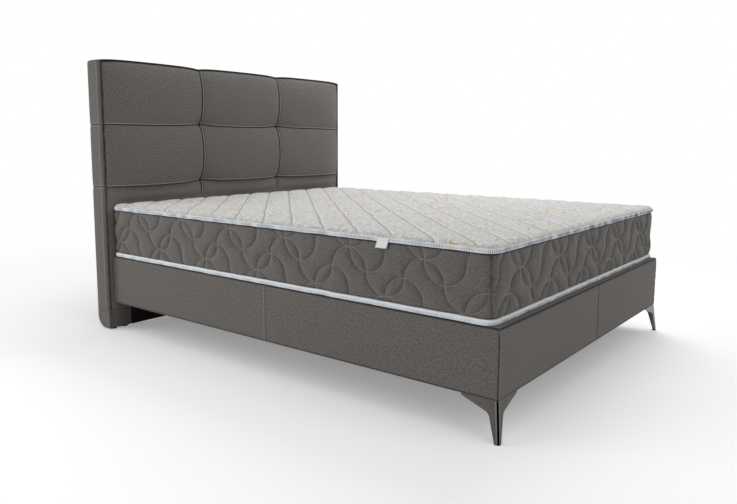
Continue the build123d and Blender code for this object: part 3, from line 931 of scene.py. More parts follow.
def quilted_knit_finish(look, name="quilted_knit", flecks=True):
    """White knit: fine ribs, tiny loops, painted shade in the channels, a painted highlight beside
    each, and scattered curved strokes.

    A stroke is a piece of a ring around a scattered point: its place is where a noise is high.
    """
    made = Finish(
        name, look.mattress.top, 0.88, Sheen_Weight=0.15, Specular_IOR_Level=0.25
    )
    place = made.cloth_place()
    along, up, _ = made.axes(place)
    wobble = made.noise(place, 30, 1.0, 0.5)
    ribs = (along * 0.62 - up + wobble * 0.004).wave(0.0095)
    loops = made.noise(place, 230, 2.0, 0.6)
    slow = made.noise(place, 9, 2.0, 0.5)
    board = look.mattress
    sides = []
    for key, pitch, share in (("strong", board.channel_pitch, 1), ("weak", board.cross_pitch, 0.55)):
        off = (made.attribute(key) + pitch / 2) % pitch - pitch / 2
        # Painted highlight: a light lip along one side of each channel
        lip = made.bell(off - 0.0075, 0.0048) * share
        sides.append([made.bell(off, width) * share for width in (0.012, 0.0034)] + [lip])
    groove, crease, lip = (one.most(other) for one, other in zip(*sides))
    puckers = made.noise(place, 62, 2.0, 0.6)
    tone = (ribs - 0.5) * 0.3 + (loops - 0.5) * 1.0 + (slow - 0.5) * 0.4 + (puckers - 0.5) * 2.5
    shade = made.between(tone + 0.5, 0.66, 1.08)
    # Painted shade over each channel, darker along the crease at its bottom, and the painted
    # highlight on its lip
    shade = made.toward(shade, groove * 0.18, 0.62)
    shade = made.toward(shade, lip * 0.45, 1.22)
    shade = made.toward(shade, crease * 0.80, 0.36)
    if flecks:
        fleck = (*look.mattress.fleck, 1)
        for size, width, least_radius, spots, least in (
            (7.0, 0.0029, 0.20, 12, 0.575),
            (9.5, 0.0026, 0.24, 14, 0.590),
            (12.0, 0.0024, 0.16, 13, 0.600),
        ):
            away, chance = made.scatter(place, size)
            line = abs(away - chance * 0.2 - least_radius) < width * size
            where = made.noise(place, spots, 1.0, 0.5) > least
            shade = made.mix(line * where, shade, fleck)
    made.paint(colour=shade, roughness=loops * 0.1 + 0.82)
    return made.emboss(ribs * 0.2 + loops * 0.3 + puckers * 0.5, 0.0030, 0.6)


def mattress_bottom_cloth(look):
    """The underside of the mattress: the same channels, shallower, on a flat plan."""
    low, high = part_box("mattress_bottom_panel")
    xs = np.linspace(low.x, high.x, 150)
    ys = np.linspace(low.y, high.y, 188)
    x, y, inside = rounded_grid(xs, ys, 0.021)
    places, (strong, weak) = lattice(x, y, look)
    channel = np.maximum(bell(strong, 0.013), bell(weak, 0.013))
    z = low.z + 0.0025 * channel * np.clip(inside / 0.01, 0, 1)
    return closed_slab(
        "mattress_bottom_cloth", x, y, z, high.z - 0.001, facing_up=False,
        strong=places[0], weak=places[1],
    )


def tape_profile(height, reach):
    """A rolled section: a circle squared off by raising its sine and cosine to a low power."""
    turn = np.linspace(0, TAU, 18, endpoint=False) - math.pi * 0.75
    out = np.sign(np.cos(turn)) * np.abs(np.cos(turn)) ** TAPE_SQUARENESS
    up = np.sign(np.sin(turn)) * np.abs(np.sin(turn)) ** TAPE_SQUARENESS
    return out * reach / 2, up * height / 2


def mattress_tape(name, box, low, high):
    """One edge tape: a rolled section carried round the outline, with a slow waver in its width."""
    plan = mattress_plan(box, 0.0062, 16)
    out, up = tape_profile(high - low, TAPE_REACH)
    offsets = out - TAPE_REACH / 2 + TAPE_PROUD
    heights = up + (low + high) / 2
    arc = plan.arc()[:-1]
    waver = 0.0006 * ripple(arc, 0 * arc, 0.07, 31)
    swell = np.where(out > 0, 1.0, 0.0)[:, None] * waver[None, :]
    points = plan_rows(plan, offsets, heights, swell)
    points[..., 2] += 0.0005 * ripple(arc, 0 * arc, 0.11, 32)[None, :]
    return plan_piece(name, plan, offsets, heights, points)


def tape_finish(look):
    """Ribbed white tape: fine cross ribs, and yarns of slightly different tones."""
    made = Finish("edge_tape_ribbed", look.mattress.tape, 0.8, Sheen_Weight=0.1)
    along = made.axes(made.cloth_place())[0]
    ribs = along.wave(0.0016)
    yarns = made.noise(made.cloth_place(), 500, 2.0, 0.6)
    shade = made.between(ribs * 0.35 + yarns * 0.5, 0.88, 1.04)
    made.paint(colour=shade, roughness=yarns * 0.1 + 0.75)
    return made.emboss(ribs, 0.0004, 0.7)


def tape_stitches(name, box, low, high, pitch, lean, share):
    """Rows of stitches on a tape: each stitch is a slim strand of four sides bent over the roll.

    All strands are worked out at once: stitch number by place along the strand by side.
    """
    plan = mattress_plan(box, 0.002, 24)
    ring, outward = plan.ring()
    arc = plan.arc()
    count = int(arc[-1] / pitch)
    rng = np.random.default_rng(41)
    start = (np.arange(count) + rng.uniform(-0.06, 0.06, count)) * pitch
    places, sides = 5, 4
    turn = np.linspace(-0.5, 0.5, places)
    side = np.where(np.arange(count) % 2 == 0, 1.0, -1.0) if lean < 0 else np.ones(count)
    s = start[:, None] + side[:, None] * abs(lean) * turn[None, :]
    s = np.mod(s, arc[-1])
    x, y, nx, ny = (
        np.interp(s, arc, wrapped(part)) for part in np.hstack([ring, outward]).T
    )
    middle, half = (low + high) / 2, (high - low) / 2
    height = middle + half * (share[0] + (share[1] - share[0]) * (turn + 0.5))
    bend = np.abs((height - middle) / half) ** (2 / TAPE_SQUARENESS)
    curve = np.clip(1 - bend, 0, 1) ** (TAPE_SQUARENESS / 2)
    out = TAPE_PROUD - TAPE_REACH / 2 * (1 - curve) + THREAD_GAP
    thick = 0.0007 * np.sqrt(np.clip(1 - (turn * 1.9) ** 2, 0.08, 1))
    angle = np.arange(sides) * TAU / sides
    lift = thick[:, None] * np.cos(angle)[None, :]
    wide = thick[:, None] * np.sin(angle)[None, :] * 1.1
    px = x[:, :, None] + nx[:, :, None] * (out[None, :, None] + lift[None]) - ny[:, :, None] * wide
    py = y[:, :, None] + ny[:, :, None] * (out[None, :, None] + lift[None]) + nx[:, :, None] * wide
    pz = np.broadcast_to(height[None, :, None], px.shape)
    points = np.stack([px, py, pz], -1).reshape(-1, 3)
    number = np.arange(count * places * sides).reshape(count, places, sides)
    right = np.roll(number, -1, 2)
    quads = np.stack(
        [number[:, :-1], right[:, :-1], right[:, 1:], number[:, 1:]], -1
    ).reshape(-1, 4)
    ends = np.concatenate([number[:, 0, ::-1], number[:, -1, :]])
    mesh = bpy.data.meshes.new(name)
    mesh.from_pydata(points.tolist(), [], np.concatenate([quads, ends]).tolist())
    mesh.polygons.foreach_set("use_smooth", np.ones(len(mesh.polygons), bool))
    mesh.update()
    return linked(name, mesh)


def thread_finish(look, name, share):
    """Twisted thread: a slanting twist over the strand."""
    colour = tuple(share * part for part in look.mattress.stitch)
    made = Finish(name, colour, 0.7, Sheen_Weight=0.1)
    twist = made.noise(made.place(), 900, 1.0, 0.5)
    made.paint(colour=made.between(twist, 0.75, 1.25))
    return made.emboss(twist, 0.0002)


def mattress_cloth_label(box):
    """A blank folded tag: a sheet that hangs from the tape and curls away at its lower end."""
    low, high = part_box("mattress_label")
    cols, rows = 14, 16
    v = np.linspace(0, 1, rows)[:, None]
    u = np.linspace(0, 1, cols)[None, :]
    top, bottom = high.z - 0.001, low.z + 0.0004
    z = bottom + (top - bottom) * v + 0 * u
    y = high.y - (high.y - low.y) * u + 0.0012 * np.sin(3 * v) + 0.010 * (1 - v)
    curl = 0.0042 * (1 - v) ** 2 + 0.0012 * np.sin(u * math.pi) * (1 - v)
    x_out = -box["half_x"] - 0.0065 - curl
    x_in = x_out + 0.0009
    front = np.stack([x_out + 0 * y, y, z], -1)
    back = np.stack([x_in + 0 * y, y, z], -1)
    uv = np.stack(np.broadcast_arrays(u * 0.046, v * 0.037), -1)
    return two_faced("mattress_cloth_label", front, back, uv, uv)


def label_finish():
    """Blank satin tape: fine ribs and a hemmed edge."""
    made = Finish("label_satin", written(248, 249, 250), 0.55)
    along, up, _ = made.axes(made.cloth_place())
    ribs = along.wave(0.0012)
    hem = (up < 0.003) + (up > 0.034)
    shade = made.between(ribs * 0.3 + hem * 0.4, 1.03, 0.82)
    made.paint(colour=shade)
    return made.emboss(ribs - hem * 0.5, 0.0003)


# Base


def seam_relief(to_seam, height, seed, flange=0.009):
    """The relief of a sewn seam: a crease, a raised fold on its right as far as the topstitching,
    a shallow row of stitches, and small slanting folds that fade away from it."""
    crease = -0.0030 * bell(to_seam, 0.0024)
    on_fold = np.clip(to_seam / 0.002, 0, 1) * np.clip((flange - to_seam) / 0.002, 0, 1)
    stitch = -0.0009 * bell(to_seam - flange, 0.0016)
    slant = np.sin(height * TAU / 0.037 + np.sign(to_seam) * 1.2 + seed)
    pull = 0.0006 * slant * bell(to_seam, 0.024) * (1 - bell(to_seam, 0.003))
    return crease + 0.0019 * on_fold + stitch + pull


def stitch_row(to_line):
    """Where a row of stitches runs: a bell across its line."""
    return bell(to_line, STITCH_WIDTH)


def base_fabric_cover(look):
    """The cover round the base: a profile carried round the plan.

    The profile turns in under the frame, runs up the side, rolls over the top edge and goes down
    inside. The side swells over its foam and is held in at the upright seams and at both edges.
    """
    low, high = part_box("base_cover")
    half_x, radius = high.x, look.base.corner
    length = high.y - low.y - 2 * radius
    wide = 2 * (half_x - radius)
    seam_left = length - (SIDE_SEAM - radius)
    seam_right = SIDE_SEAM - radius
    seam_foot = wide / 2 + FOOT_SEAM
    places = {}
    for name, reach, spots in (
        ("left", length, [0, seam_left, length]),
        ("right", length, [0, seam_right, length]),
        ("foot", wide, [0, seam_foot, wide]),
        ("half", wide / 2, [wide / 2]),
    ):
        places[name] = (spaced(0, reach, *COVER_STEPS, spots) / reach)[:-1]
    places["end"] = (1 - np.append(places["half"], 1)[::-1])[:-1]
    plan = Plan(half_x, low.y, high.y, radius, 0.0125, 9, places)
    bottom, top = low.z, high.z
    side = spaced(bottom + 0.0045, top - 0.0075, 0.0105, 0.003, [bottom, top], 0.024)
    roll = np.radians([15, 35, 55, 75, 90])
    offsets = np.concatenate(
        [
            [-0.0115, -0.004, -0.0012, -0.0002],
            np.zeros(len(side)),
            -COVER_ROLL * (1 - np.cos(roll)),
            [-0.012, -0.0155, -0.0155, -0.0037, -0.0037, -0.0115],
        ]
    )
    heights = np.concatenate(
        [
            [bottom - 0.0003, bottom - 0.0003, bottom + 0.0006, bottom + 0.0022],
            side,
            top - COVER_ROLL + COVER_ROLL * np.sin(roll),
            [top, top - 0.0004, top - 0.0012, top - 0.0025, bottom + 0.0006, bottom + 0.0006],
        ]
    )
    arc, starts = plan.arc(), plan.starts()
    s = arc[:-1]
    seams = plan.corner_seams() + [
        arc[starts["left"]] + seam_left,
        arc[starts["foot"]] + seam_foot,
        arc[starts["right"]] + seam_right,
    ]
    outer = np.zeros(len(offsets))
    outer[3 : 4 + len(side) + 4] = 1
    hold = 1 - np.exp(-np.minimum(heights - bottom, top - heights).clip(0) / 0.02)
    nearest = np.min([np.abs(s - seam) for seam in seams], axis=0)
    fullness = 1 - np.exp(-nearest / 0.05)
    swell = look.base.bulge * hold[:, None] * fullness[None, :]
    swell = swell + 0.0005 * hold[:, None] * ripple(s[None, :], heights[:, None], 0.22, 51)
    stitch = 0.0
    # Painted highlight on the fold along the bottom edge, and painted shade in a line just above it
    fold = 0.7 * bell(heights - bottom - 0.0008, 0.0014)[:, None]
    crease = 0.9 * bell(heights - bottom - 0.0046, 0.0022)[:, None]
    tuck = bell(heights - (top - 0.012), 0.012)[:, None]
    for number, seam in enumerate(seams):
        to_seam = (s - seam)[None, :]
        # For each seam: depth of the relief, painted shade of its crease, place and painted highlight
        # of its fold, and strength of its stitches
        if number < 4:
            depth, dark, fold_at, lit, sewn = 1.0, 0.8, 0.0042, 0.45, 1.0
            swell = swell - 0.0035 * tuck * bell(to_seam, 0.007)
        else:
            depth, dark, fold_at, lit, sewn = 0.75, 0.65, -0.0046, 0.75, 0.35
        swell = swell + depth * seam_relief(to_seam, heights[:, None], number)
        crease = np.maximum(crease, dark * bell(to_seam, 0.0016))
        fold = np.maximum(fold, lit * bell(to_seam - fold_at, 0.0020))
        stitch = np.maximum(stitch, sewn * stitch_row(to_seam - 0.009))
    mask = outer[:, None]
    # Painted shadow of the mattress along the top of the side
    under_tape = 0.9 * bell(np.clip(top - 0.0030 - heights, 0, None), 0.0028)[:, None]
    crease = np.maximum(crease, under_tape)
    points = plan_rows(plan, offsets, heights, swell * mask)
    return plan_piece(
        "base_fabric_cover", plan, offsets, heights, points,
        crease=crease * mask, stitch=stitch * mask, fold=fold * mask,
    )


def base_top_cloth():
    """The cloth over the top of the base: flat, with slow unevenness and a hem along its edge."""
    low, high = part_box("base_top_cover")
    xs = np.linspace(low.x + 0.004, high.x - 0.004, 120)
    ys = np.linspace(low.y + 0.004, high.y - 0.004, 150)
    x, y, inside = rounded_grid(xs, ys, 0.008)
    z = high.z - 0.0011 + 0.0004 * ripple(x, y, 0.16, 61) * np.clip(inside / 0.05, 0, 1)
    z = z + 0.0003 * bell(inside - 0.022, 0.004)
    return closed_slab("base_top_cloth", x, y, z, low.z - 0.0002)


def base_under_cloth():
    """The lining stapled under the base: flat between its folded edges, sagging a little."""
    low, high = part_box("base_dust_cover")
    xs = np.linspace(low.x, high.x, 100)
    ys = np.linspace(low.y, high.y, 124)
    x, y, inside = rounded_grid(xs, ys, 0.006)
    z = low.z - 0.0003 * ripple(x, y, 0.3, 71) * np.clip(inside / 0.1, 0, 1)
    return closed_slab("base_under_cloth", x, y, z, high.z - 0.0001, facing_up=False)


# Headboard


def headboard_box():
    """The headboard's outline and depths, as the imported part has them."""
    low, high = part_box("headboard_border")
    _, pads_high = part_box("headboard_upper_pads")
    lower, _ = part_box("headboard_lower_pads")
    return {
        "half_x": high.x,
        "inner_x": pads_high.x,
        "top_z": high.z,
        "arch": 0.009,
        "front_y": low.y,
        "back_y": high.y,
        "board_y": pads_high.y,
        "low_z": lower.z,
        "rest_z": PADS_REST_Z,
        "wall": PAD_WALL,
        "cloth_y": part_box("headboard_back_cover")[1].y,
    }


def top_line(x, box, inset=0.0):
    """Height of the top edge: over each of the three columns it is nearly level, and drops along
    the sixth power of the way to a seam."""
    half = box["half_x"] - inset
    edges = np.array([-half, -box["half_x"] / 3, box["half_x"] / 3, half])
    column = np.clip(np.digitize(x, edges[1:-1]), 0, 2)
    left, right = edges[column], edges[column + 1]
    share = np.clip((x - left) / (right - left), 0, 1) * 2 - 1
    return box["top_z"] - inset - box["arch"] * (0.25 * share**2 + 0.75 * share**6)


def half_ellipse(share):
    """0 at both ends of -1 to 1, and 1 in the middle, along half an ellipse."""
    return np.sqrt(np.clip(1 - share**2, 0, 1))


def seam_sway(x, z, look, box):
    """How far the cross seams run above or below their level: they are drawn up at the crossings
    and sag between them, and what lies between two seams moves by a share of both."""
    third = box["half_x"] / 3
    board = look.headboard
    places = np.array([-3, -2.4, -2, -1.4, -1, -0.6, 0, 0.6, 1, 1.4, 2, 2.5, 3]) * third
    upper = np.array([-4, -5, -5, -2, 7, -2, -5, -2, 7, -1, -3, -4, -4]) * 0.001
    lower = np.array([-2, -4, -4, 0, 11, 2, -1, -1, 4, 0, -1, -1, 0]) * 0.001
    u, l = np.interp(x, places, upper), np.interp(x, places, lower)
    levels = [box["rest_z"], board.lower_seam, board.upper_seam, box["top_z"] - 0.03]
    low_share = np.interp(z, levels, [0, 1, 0, 0])
    high_share = np.interp(z, levels, [0, 0, 1, 0])
    return l * low_share + u * high_share


def pad_front(look, box, x, z):
    """How far the padded front stands before the edge plane, for arrays x and z.

    Along an upright seam the rise goes from crossing to crossing along half an ellipse. So does the
    rise of each pad's middle line, from cross seam to cross seam. Between two seams a pad follows
    a flattened ellipse from one seam's rise over the middle line's rise to the next seam's.
    """
    board = look.headboard
    seams_z = [box["rest_z"], board.lower_seam, board.upper_seam]
    top = top_line(x, box, box["wall"])
    tuft, swell, low_rise = -board.tuft_depth, board.seam_rise, board.seam_rise * 0.7
    rows = [
        (seams_z[0], seams_z[1], 0.0, tuft, 0.005, 0.0, 0.013, 0.015),
        (seams_z[1], seams_z[2], tuft, tuft, swell, low_rise, low_rise, board.crown),
        (seams_z[2], None, tuft, 0.0, swell, low_rise, 0.0, board.crown),
    ]
    seam_rise = np.zeros(np.broadcast(x, z).shape)
    middle_rise = np.zeros_like(seam_rise)
    for low, high, low_tuft, high_tuft, seam_peak, low_middle, high_middle, peak in rows:
        upper = top if high is None else high
        share = np.clip((z - low) / (upper - low), 0, 1)
        inside = (z >= low) & (z <= upper)
        turn = half_ellipse(share * 2 - 1)
        chord = low_tuft + (high_tuft - low_tuft) * share
        seam_rise = np.where(inside, chord + (seam_peak - chord) * turn, seam_rise)
        chord = low_middle + (high_middle - low_middle) * share
        middle_rise = np.where(inside, chord + (peak - chord) * turn, middle_rise)
    third = box["half_x"] / 3
    edges = np.array([-box["inner_x"], -third, third, box["inner_x"]])
    column = np.clip(np.digitize(x, edges[1:-1]), 0, 2)
    left, right = edges[column], edges[column + 1]
    share = np.clip((x - left) / (right - left), 0, 1)
    left_rise = np.where(column == 0, 0.0, seam_rise)
    right_rise = np.where(column == 2, 0.0, seam_rise)
    chord = left_rise + (right_rise - left_rise) * share
    across = np.clip(1 - np.abs(share * 2 - 1) ** 2.5, 0, 1) ** 0.62
    return chord + (middle_rise - chord) * across


def headboard_front_pads(look, box):
    """The padded front: nine tufted pads on one grid, sewn together along two upright and two
    cross seams, each seam with its crease, its raised fold and its topstitching. Painted shade
    lies in the creases and tufts and along the edges, and a painted highlight on each fold."""
    board = look.headboard
    third = box["half_x"] / 3
    xs = spaced(
        -box["inner_x"], box["inner_x"], *PAD_STEPS,
        [-box["inner_x"], -third, third, box["inner_x"]], 0.036,
    )
    spots = [board.lower_seam, board.upper_seam, box["top_z"] - box["wall"]]
    levels = spaced(box["low_z"], box["top_z"] - box["wall"], *PAD_STEPS, spots, 0.036)
    fixed = levels <= board.upper_seam + 0.05
    x = np.broadcast_to(xs[None, :], (len(levels), len(xs)))
    top = top_line(xs, box, box["wall"])[None, :]
    start = levels[fixed][-1]
    full = levels[-1]
    stretch = start + (levels[:, None] - start) * (top - start) / (full - start)
    z = np.where(fixed[:, None], levels[:, None], stretch)
    rise = pad_front(look, box, x, z)
    crease = np.zeros_like(rise)
    # Painted light: the fold attribute lightens the pads just above the mattress, against the real
    # shade there
    fold = 0.14 * bell(np.clip(z - box["rest_z"] - 0.01, 0, None), 0.035)
    relief = np.zeros_like(rise)
    free = np.clip((z - box["rest_z"]) / 0.03, 0, 1)
    shown = np.clip((z - box["rest_z"]) / 0.008, 0, 1)
    for number, seam in enumerate((-third, third)):
        to_seam = x - seam
        relief = relief + seam_relief(to_seam, z, number, 0.010) * free
        # Painted shade along each upright seam and in a line to its right, and a painted highlight on
        # its fold
        crease = np.maximum(crease, bell(to_seam, 0.0028) * shown)
        crease = np.maximum(crease, 0.5 * bell(to_seam - 0.0128, 0.0020) * shown)
        fold = np.maximum(fold, 0.8 * bell(to_seam - 0.0066, 0.0026) * shown)
    for number, seam in enumerate((board.lower_seam, board.upper_seam)):
        to_seam = z - seam
        relief = relief + seam_relief(to_seam, x, number + 3, 0.009)
        # Painted shade along each cross seam, and a painted highlight on its fold above
        crease = np.maximum(crease, bell(to_seam, 0.0022))
        fold = np.maximum(fold, bell(to_seam - 0.0052, 0.0021))
    for cx in (-third, third):
        for cz in (board.lower_seam, board.upper_seam):
            far = np.hypot(x - cx, z - cz)
            turn = np.arctan2(z - cz, x - cx)
            spokes = np.cos(8 * turn + 0.7 * np.sin(3 * turn + cx * 9))
            relief = relief + 0.0016 * spokes * bell(far - 0.022, 0.018) * free
            relief = relief - 0.005 * bell(far, 0.012)
            # Painted shade at each tuft
            crease = np.maximum(crease, 0.75 * bell(far, 0.007))
    edge = np.minimum(box["inner_x"] - np.abs(x), top_line(x, box, box["wall"]) - z)
    waves = 0.0009 * ripple(x, z, 0.05, 83)
    valley = edge - 0.0014 + waves
    relief = relief - 0.0042 * bell(valley, 0.0045)
    # Painted shade in the valley along the edge, and a painted shadow along the right edge
    crease = np.maximum(crease, bell(valley, 0.0042))
    crease = np.maximum(crease, np.where(x > 0, bell(box["inner_x"] - x, 0.0130), 0))
    slow = 0.0007 * ripple(x, z, 0.13, 81) * free * (1 - bell(edge, 0.03))
    y = box["front_y"] - rise - relief - slow
    y = np.minimum(y, box["board_y"] - 0.002)
    z = z + seam_sway(x, z, look, box)
    shell = Shell()
    points = np.stack([x, y, z], -1)
    uv = np.stack([x, z], -1)
    numbers = shell.grid(points, uv, crease=crease, fold=fold)
    return skirted("headboard_front_pads", shell, numbers, points, 1, box["board_y"], 0.03)


def band_path(box, look):
    """The outline of the headboard from the lower left corner, up, over and down to the right.

    Gives points, outward directions and metres walked.
    """
    board = look.headboard
    radius = BAND_CORNER
    edge_z = box["top_z"] - box["arch"]
    seams = [board.lower_seam, board.upper_seam]
    up = spaced(box["low_z"], edge_z - radius, *BAND_STEPS, seams + [box["low_z"]])
    third = box["half_x"] / 3
    corner_x = box["half_x"] - radius
    across = spaced(-corner_x, corner_x, *BAND_STEPS, [-third, third])
    angle = np.radians(np.linspace(180, 90, 9))[1:-1]
    bend = np.stack(
        [-box["half_x"] + radius + radius * np.cos(angle), edge_z - radius + radius * np.sin(angle)],
        -1,
    )
    corner_rise = top_line(-box["half_x"] + radius, box) - edge_z
    bend[:, 1] += corner_rise * np.linspace(0, 1, len(bend))
    left = np.stack([np.full(len(up), -box["half_x"]), up], -1)
    top = np.stack([across, top_line(across, box)], -1)
    right = np.stack([-left[::-1, 0], left[::-1, 1]], -1)
    other = np.stack([-bend[::-1, 0], bend[::-1, 1]], -1)
    points = np.concatenate([left, bend, top, other, right])
    ahead = np.gradient(points, axis=0)
    ahead /= np.linalg.norm(ahead, axis=1)[:, None]
    outward = np.stack([-ahead[:, 1], ahead[:, 0]], -1)
    walk = running(np.linalg.norm(np.diff(points, axis=0), axis=1))
    return points, outward, walk


def carried_along(name, points, outward, walk, out, depth, swell, **fields):
    """A closed section carried along the outline of the headboard, with a flat cap at each end.

    out is the distance outwards and depth the place along Y, both for every point of the section.
    """
    reach = out[:, None] + swell
    x = points[None, :, 0] + outward[None, :, 0] * reach
    z = points[None, :, 1] + outward[None, :, 1] * reach
    y = depth[:, None] + 0 * x
    grid = np.stack([x, y, z], -1)
    steps = np.hypot(np.diff(wrapped(out)), np.diff(wrapped(depth)))
    along = running(steps)
    uv = np.stack(np.meshgrid(walk, along), -1)
    shell = Shell()
    numbers = shell.grid(grid, uv, wrap_rows=True, **fields)
    section = np.stack([out, depth], -1)
    shell.cap(numbers[:, 0], section)
    shell.cap(numbers[::-1, -1], section[::-1])
    return shell.build(name)


def headboard_side_band(look, box):
    """The band over both sides and the top: rows from front to back carried along the outline.

    It swells between the cross seams, is drawn in at each of them, and rounds over at the back.
    """
    points, outward, walk = band_path(box, look)
    front, back = box["front_y"], box["cloth_y"]
    strip = front + BAND_STRIP
    depth = spaced(front + 0.0005, back - 0.006, 0.011, 0.0022, [front, strip, back], 0.014)
    roll = np.radians([25, 50, 75, 90])
    out = np.concatenate(
        [
            np.zeros(len(depth)),
            -0.005 * (1 - np.cos(roll)),
            [-0.0055, -0.0055, -0.0055],
        ]
    )
    deep = np.concatenate(
        [
            depth,
            back - 0.006 + 0.005 * np.sin(roll),
            [back - 0.0012, back - 0.0018, front + 0.0005],
        ]
    )
    # A section that runs towards the back, seen from outside, walks with its outward side to the left
    out, deep = out[::-1], deep[::-1]
    x, z = points[:, 0], points[:, 1]
    board = look.headboard
    on_side = np.abs(outward[:, 0]) > 0.7
    to_row = np.full(len(walk), FAR)
    seams = (board.lower_seam - 0.002, board.upper_seam - 0.004)
    for seam in seams:
        to_row = np.minimum(to_row, np.where(on_side, np.abs(z - seam), FAR))
    third = box["half_x"] / 3
    to_column = np.where(on_side, FAR, np.minimum(np.abs(x - third), np.abs(x + third)))
    to_seam = np.minimum(to_row, to_column)
    across = np.clip((deep - front) / (back - front), 0, 1)
    middle = np.clip(1 - np.abs(across * 2 - 1) ** 3, 0, 1)[:, None]
    outer = (out > -0.0052)[:, None]
    swell = 0.0030 * middle * (1 - np.exp(-to_seam / 0.05))[None, :]
    swell = swell + 0.0005 * middle * ripple(walk[None, :], deep[:, None], 0.12, 91)
    swell = swell - 0.0028 * bell(to_seam, 0.0026)[None, :] * (0.4 + 0.6 * middle)
    swell = swell - 0.0016 * bell(to_seam, 0.016)[None, :]
    above = np.where(on_side, z - np.where(z > BAND_MIDDLE, seams[1], seams[0]), FAR)
    raised = np.clip(above / 0.002, 0, 1) * np.clip((0.010 - above) / 0.002, 0, 1)
    swell = swell + 0.0018 * (raised * on_side)[None, :] * (0.3 + 0.7 * middle)
    # Painted highlight: a light line beside each side seam, and one just behind the front strip
    fold = 0.8 * bell(np.abs(above) - 0.0052, 0.0020)[None, :]
    beside = on_side[None, :] * np.ones_like(middle)
    fold = np.maximum(fold, 0.75 * bell(deep - strip - 0.0020, 0.0024)[:, None] * beside)
    swell = swell - 0.0012 * bell(deep - strip + 0.0020, 0.0030)[:, None] * beside
    to_end = np.abs(z - box["low_z"] - 0.004)[None, :]
    stitch = 0.8 * stitch_row(above - 0.010)[None, :]
    stitch = np.maximum(stitch, 0.6 * stitch_row(to_end - 0.007))
    bend = np.abs(outward[:, 0]) * np.abs(outward[:, 1]) * 2
    # Painted shade: along the seams and round the bends, over the front strip on the sides, and in a
    # dark line near the strip's back edge
    crease = np.maximum(bell(to_seam, 0.0022), 0.8 * bend**3)[None, :]
    crease = np.maximum(crease, 0.30 * (deep < strip - 0.001)[:, None] * beside)
    crease = np.maximum(crease, 0.6 * bell(deep - strip + 0.0022, 0.0020)[:, None] * beside)
    swell = swell - 0.0012 * (bend**2)[None, :]
    return carried_along(
        "headboard_side_band", points, outward, walk, out, deep, swell * outer,
        crease=crease * outer, level_stitch=stitch * outer, fold=fold * outer,
    )


def headboard_edge_flange(look, box):
    """The raised edge seam: a flat sewn strip with rounded edges that stands a little proud of the
    front along both sides and the top, and runs down the feet to the floor."""
    points, outward, walk = band_path({**box, "low_z": 0.012}, look)
    front = box["front_y"]
    proud = look.headboard.flange
    turn = np.radians(np.linspace(0, 90, 5))
    outer, inner, soft = 0.0014, -0.0060, 0.0022
    out = np.concatenate(
        [
            [inner + 0.001, inner],
            inner + soft * (1 - np.cos(turn)),
            [inner + 0.0030, inner + 0.0037, inner + 0.0044],
            outer - soft * (1 - np.cos(turn[::-1])),
            [outer, outer - 0.0012],
        ]
    )
    deep = np.concatenate(
        [
            [front + 0.004, front - proud + soft],
            front - proud + soft * (1 - np.sin(turn)),
            [front - proud, front - proud + 0.0010, front - proud],
            front - proud + soft * (1 - np.sin(turn[::-1])),
            [front - 0.0004, front + 0.004],
        ]
    )
    on_top = np.clip(outward[:, 1], 0, 1) ** 2
    waver = 0.0010 * ripple(walk, walk * 0, 0.055, 95) + 0.0006 * ripple(walk, walk * 0, 0.13, 96)
    inward = np.clip((outer - out) / (outer - inner), 0, 1)[:, None]
    swell = inward * (0.6 * waver[None, :] - 0.0022 * on_top[None, :])
    edge = np.concatenate([[1, 1], np.zeros(len(out) - 4), [1, 1]])[:, None]
    # Painted shade: the whole flange darker, more along the top and down the right side, and at both
    # ends of its section
    shaded = np.clip(0.30 + 0.75 * on_top + 0.7 * np.clip(outward[:, 0], 0, 1), 0, 1)
    return carried_along(
        "headboard_edge_flange", points, outward, walk, out, deep, swell,
        crease=np.maximum(edge * 0.8, shaded[None, :]),
    )


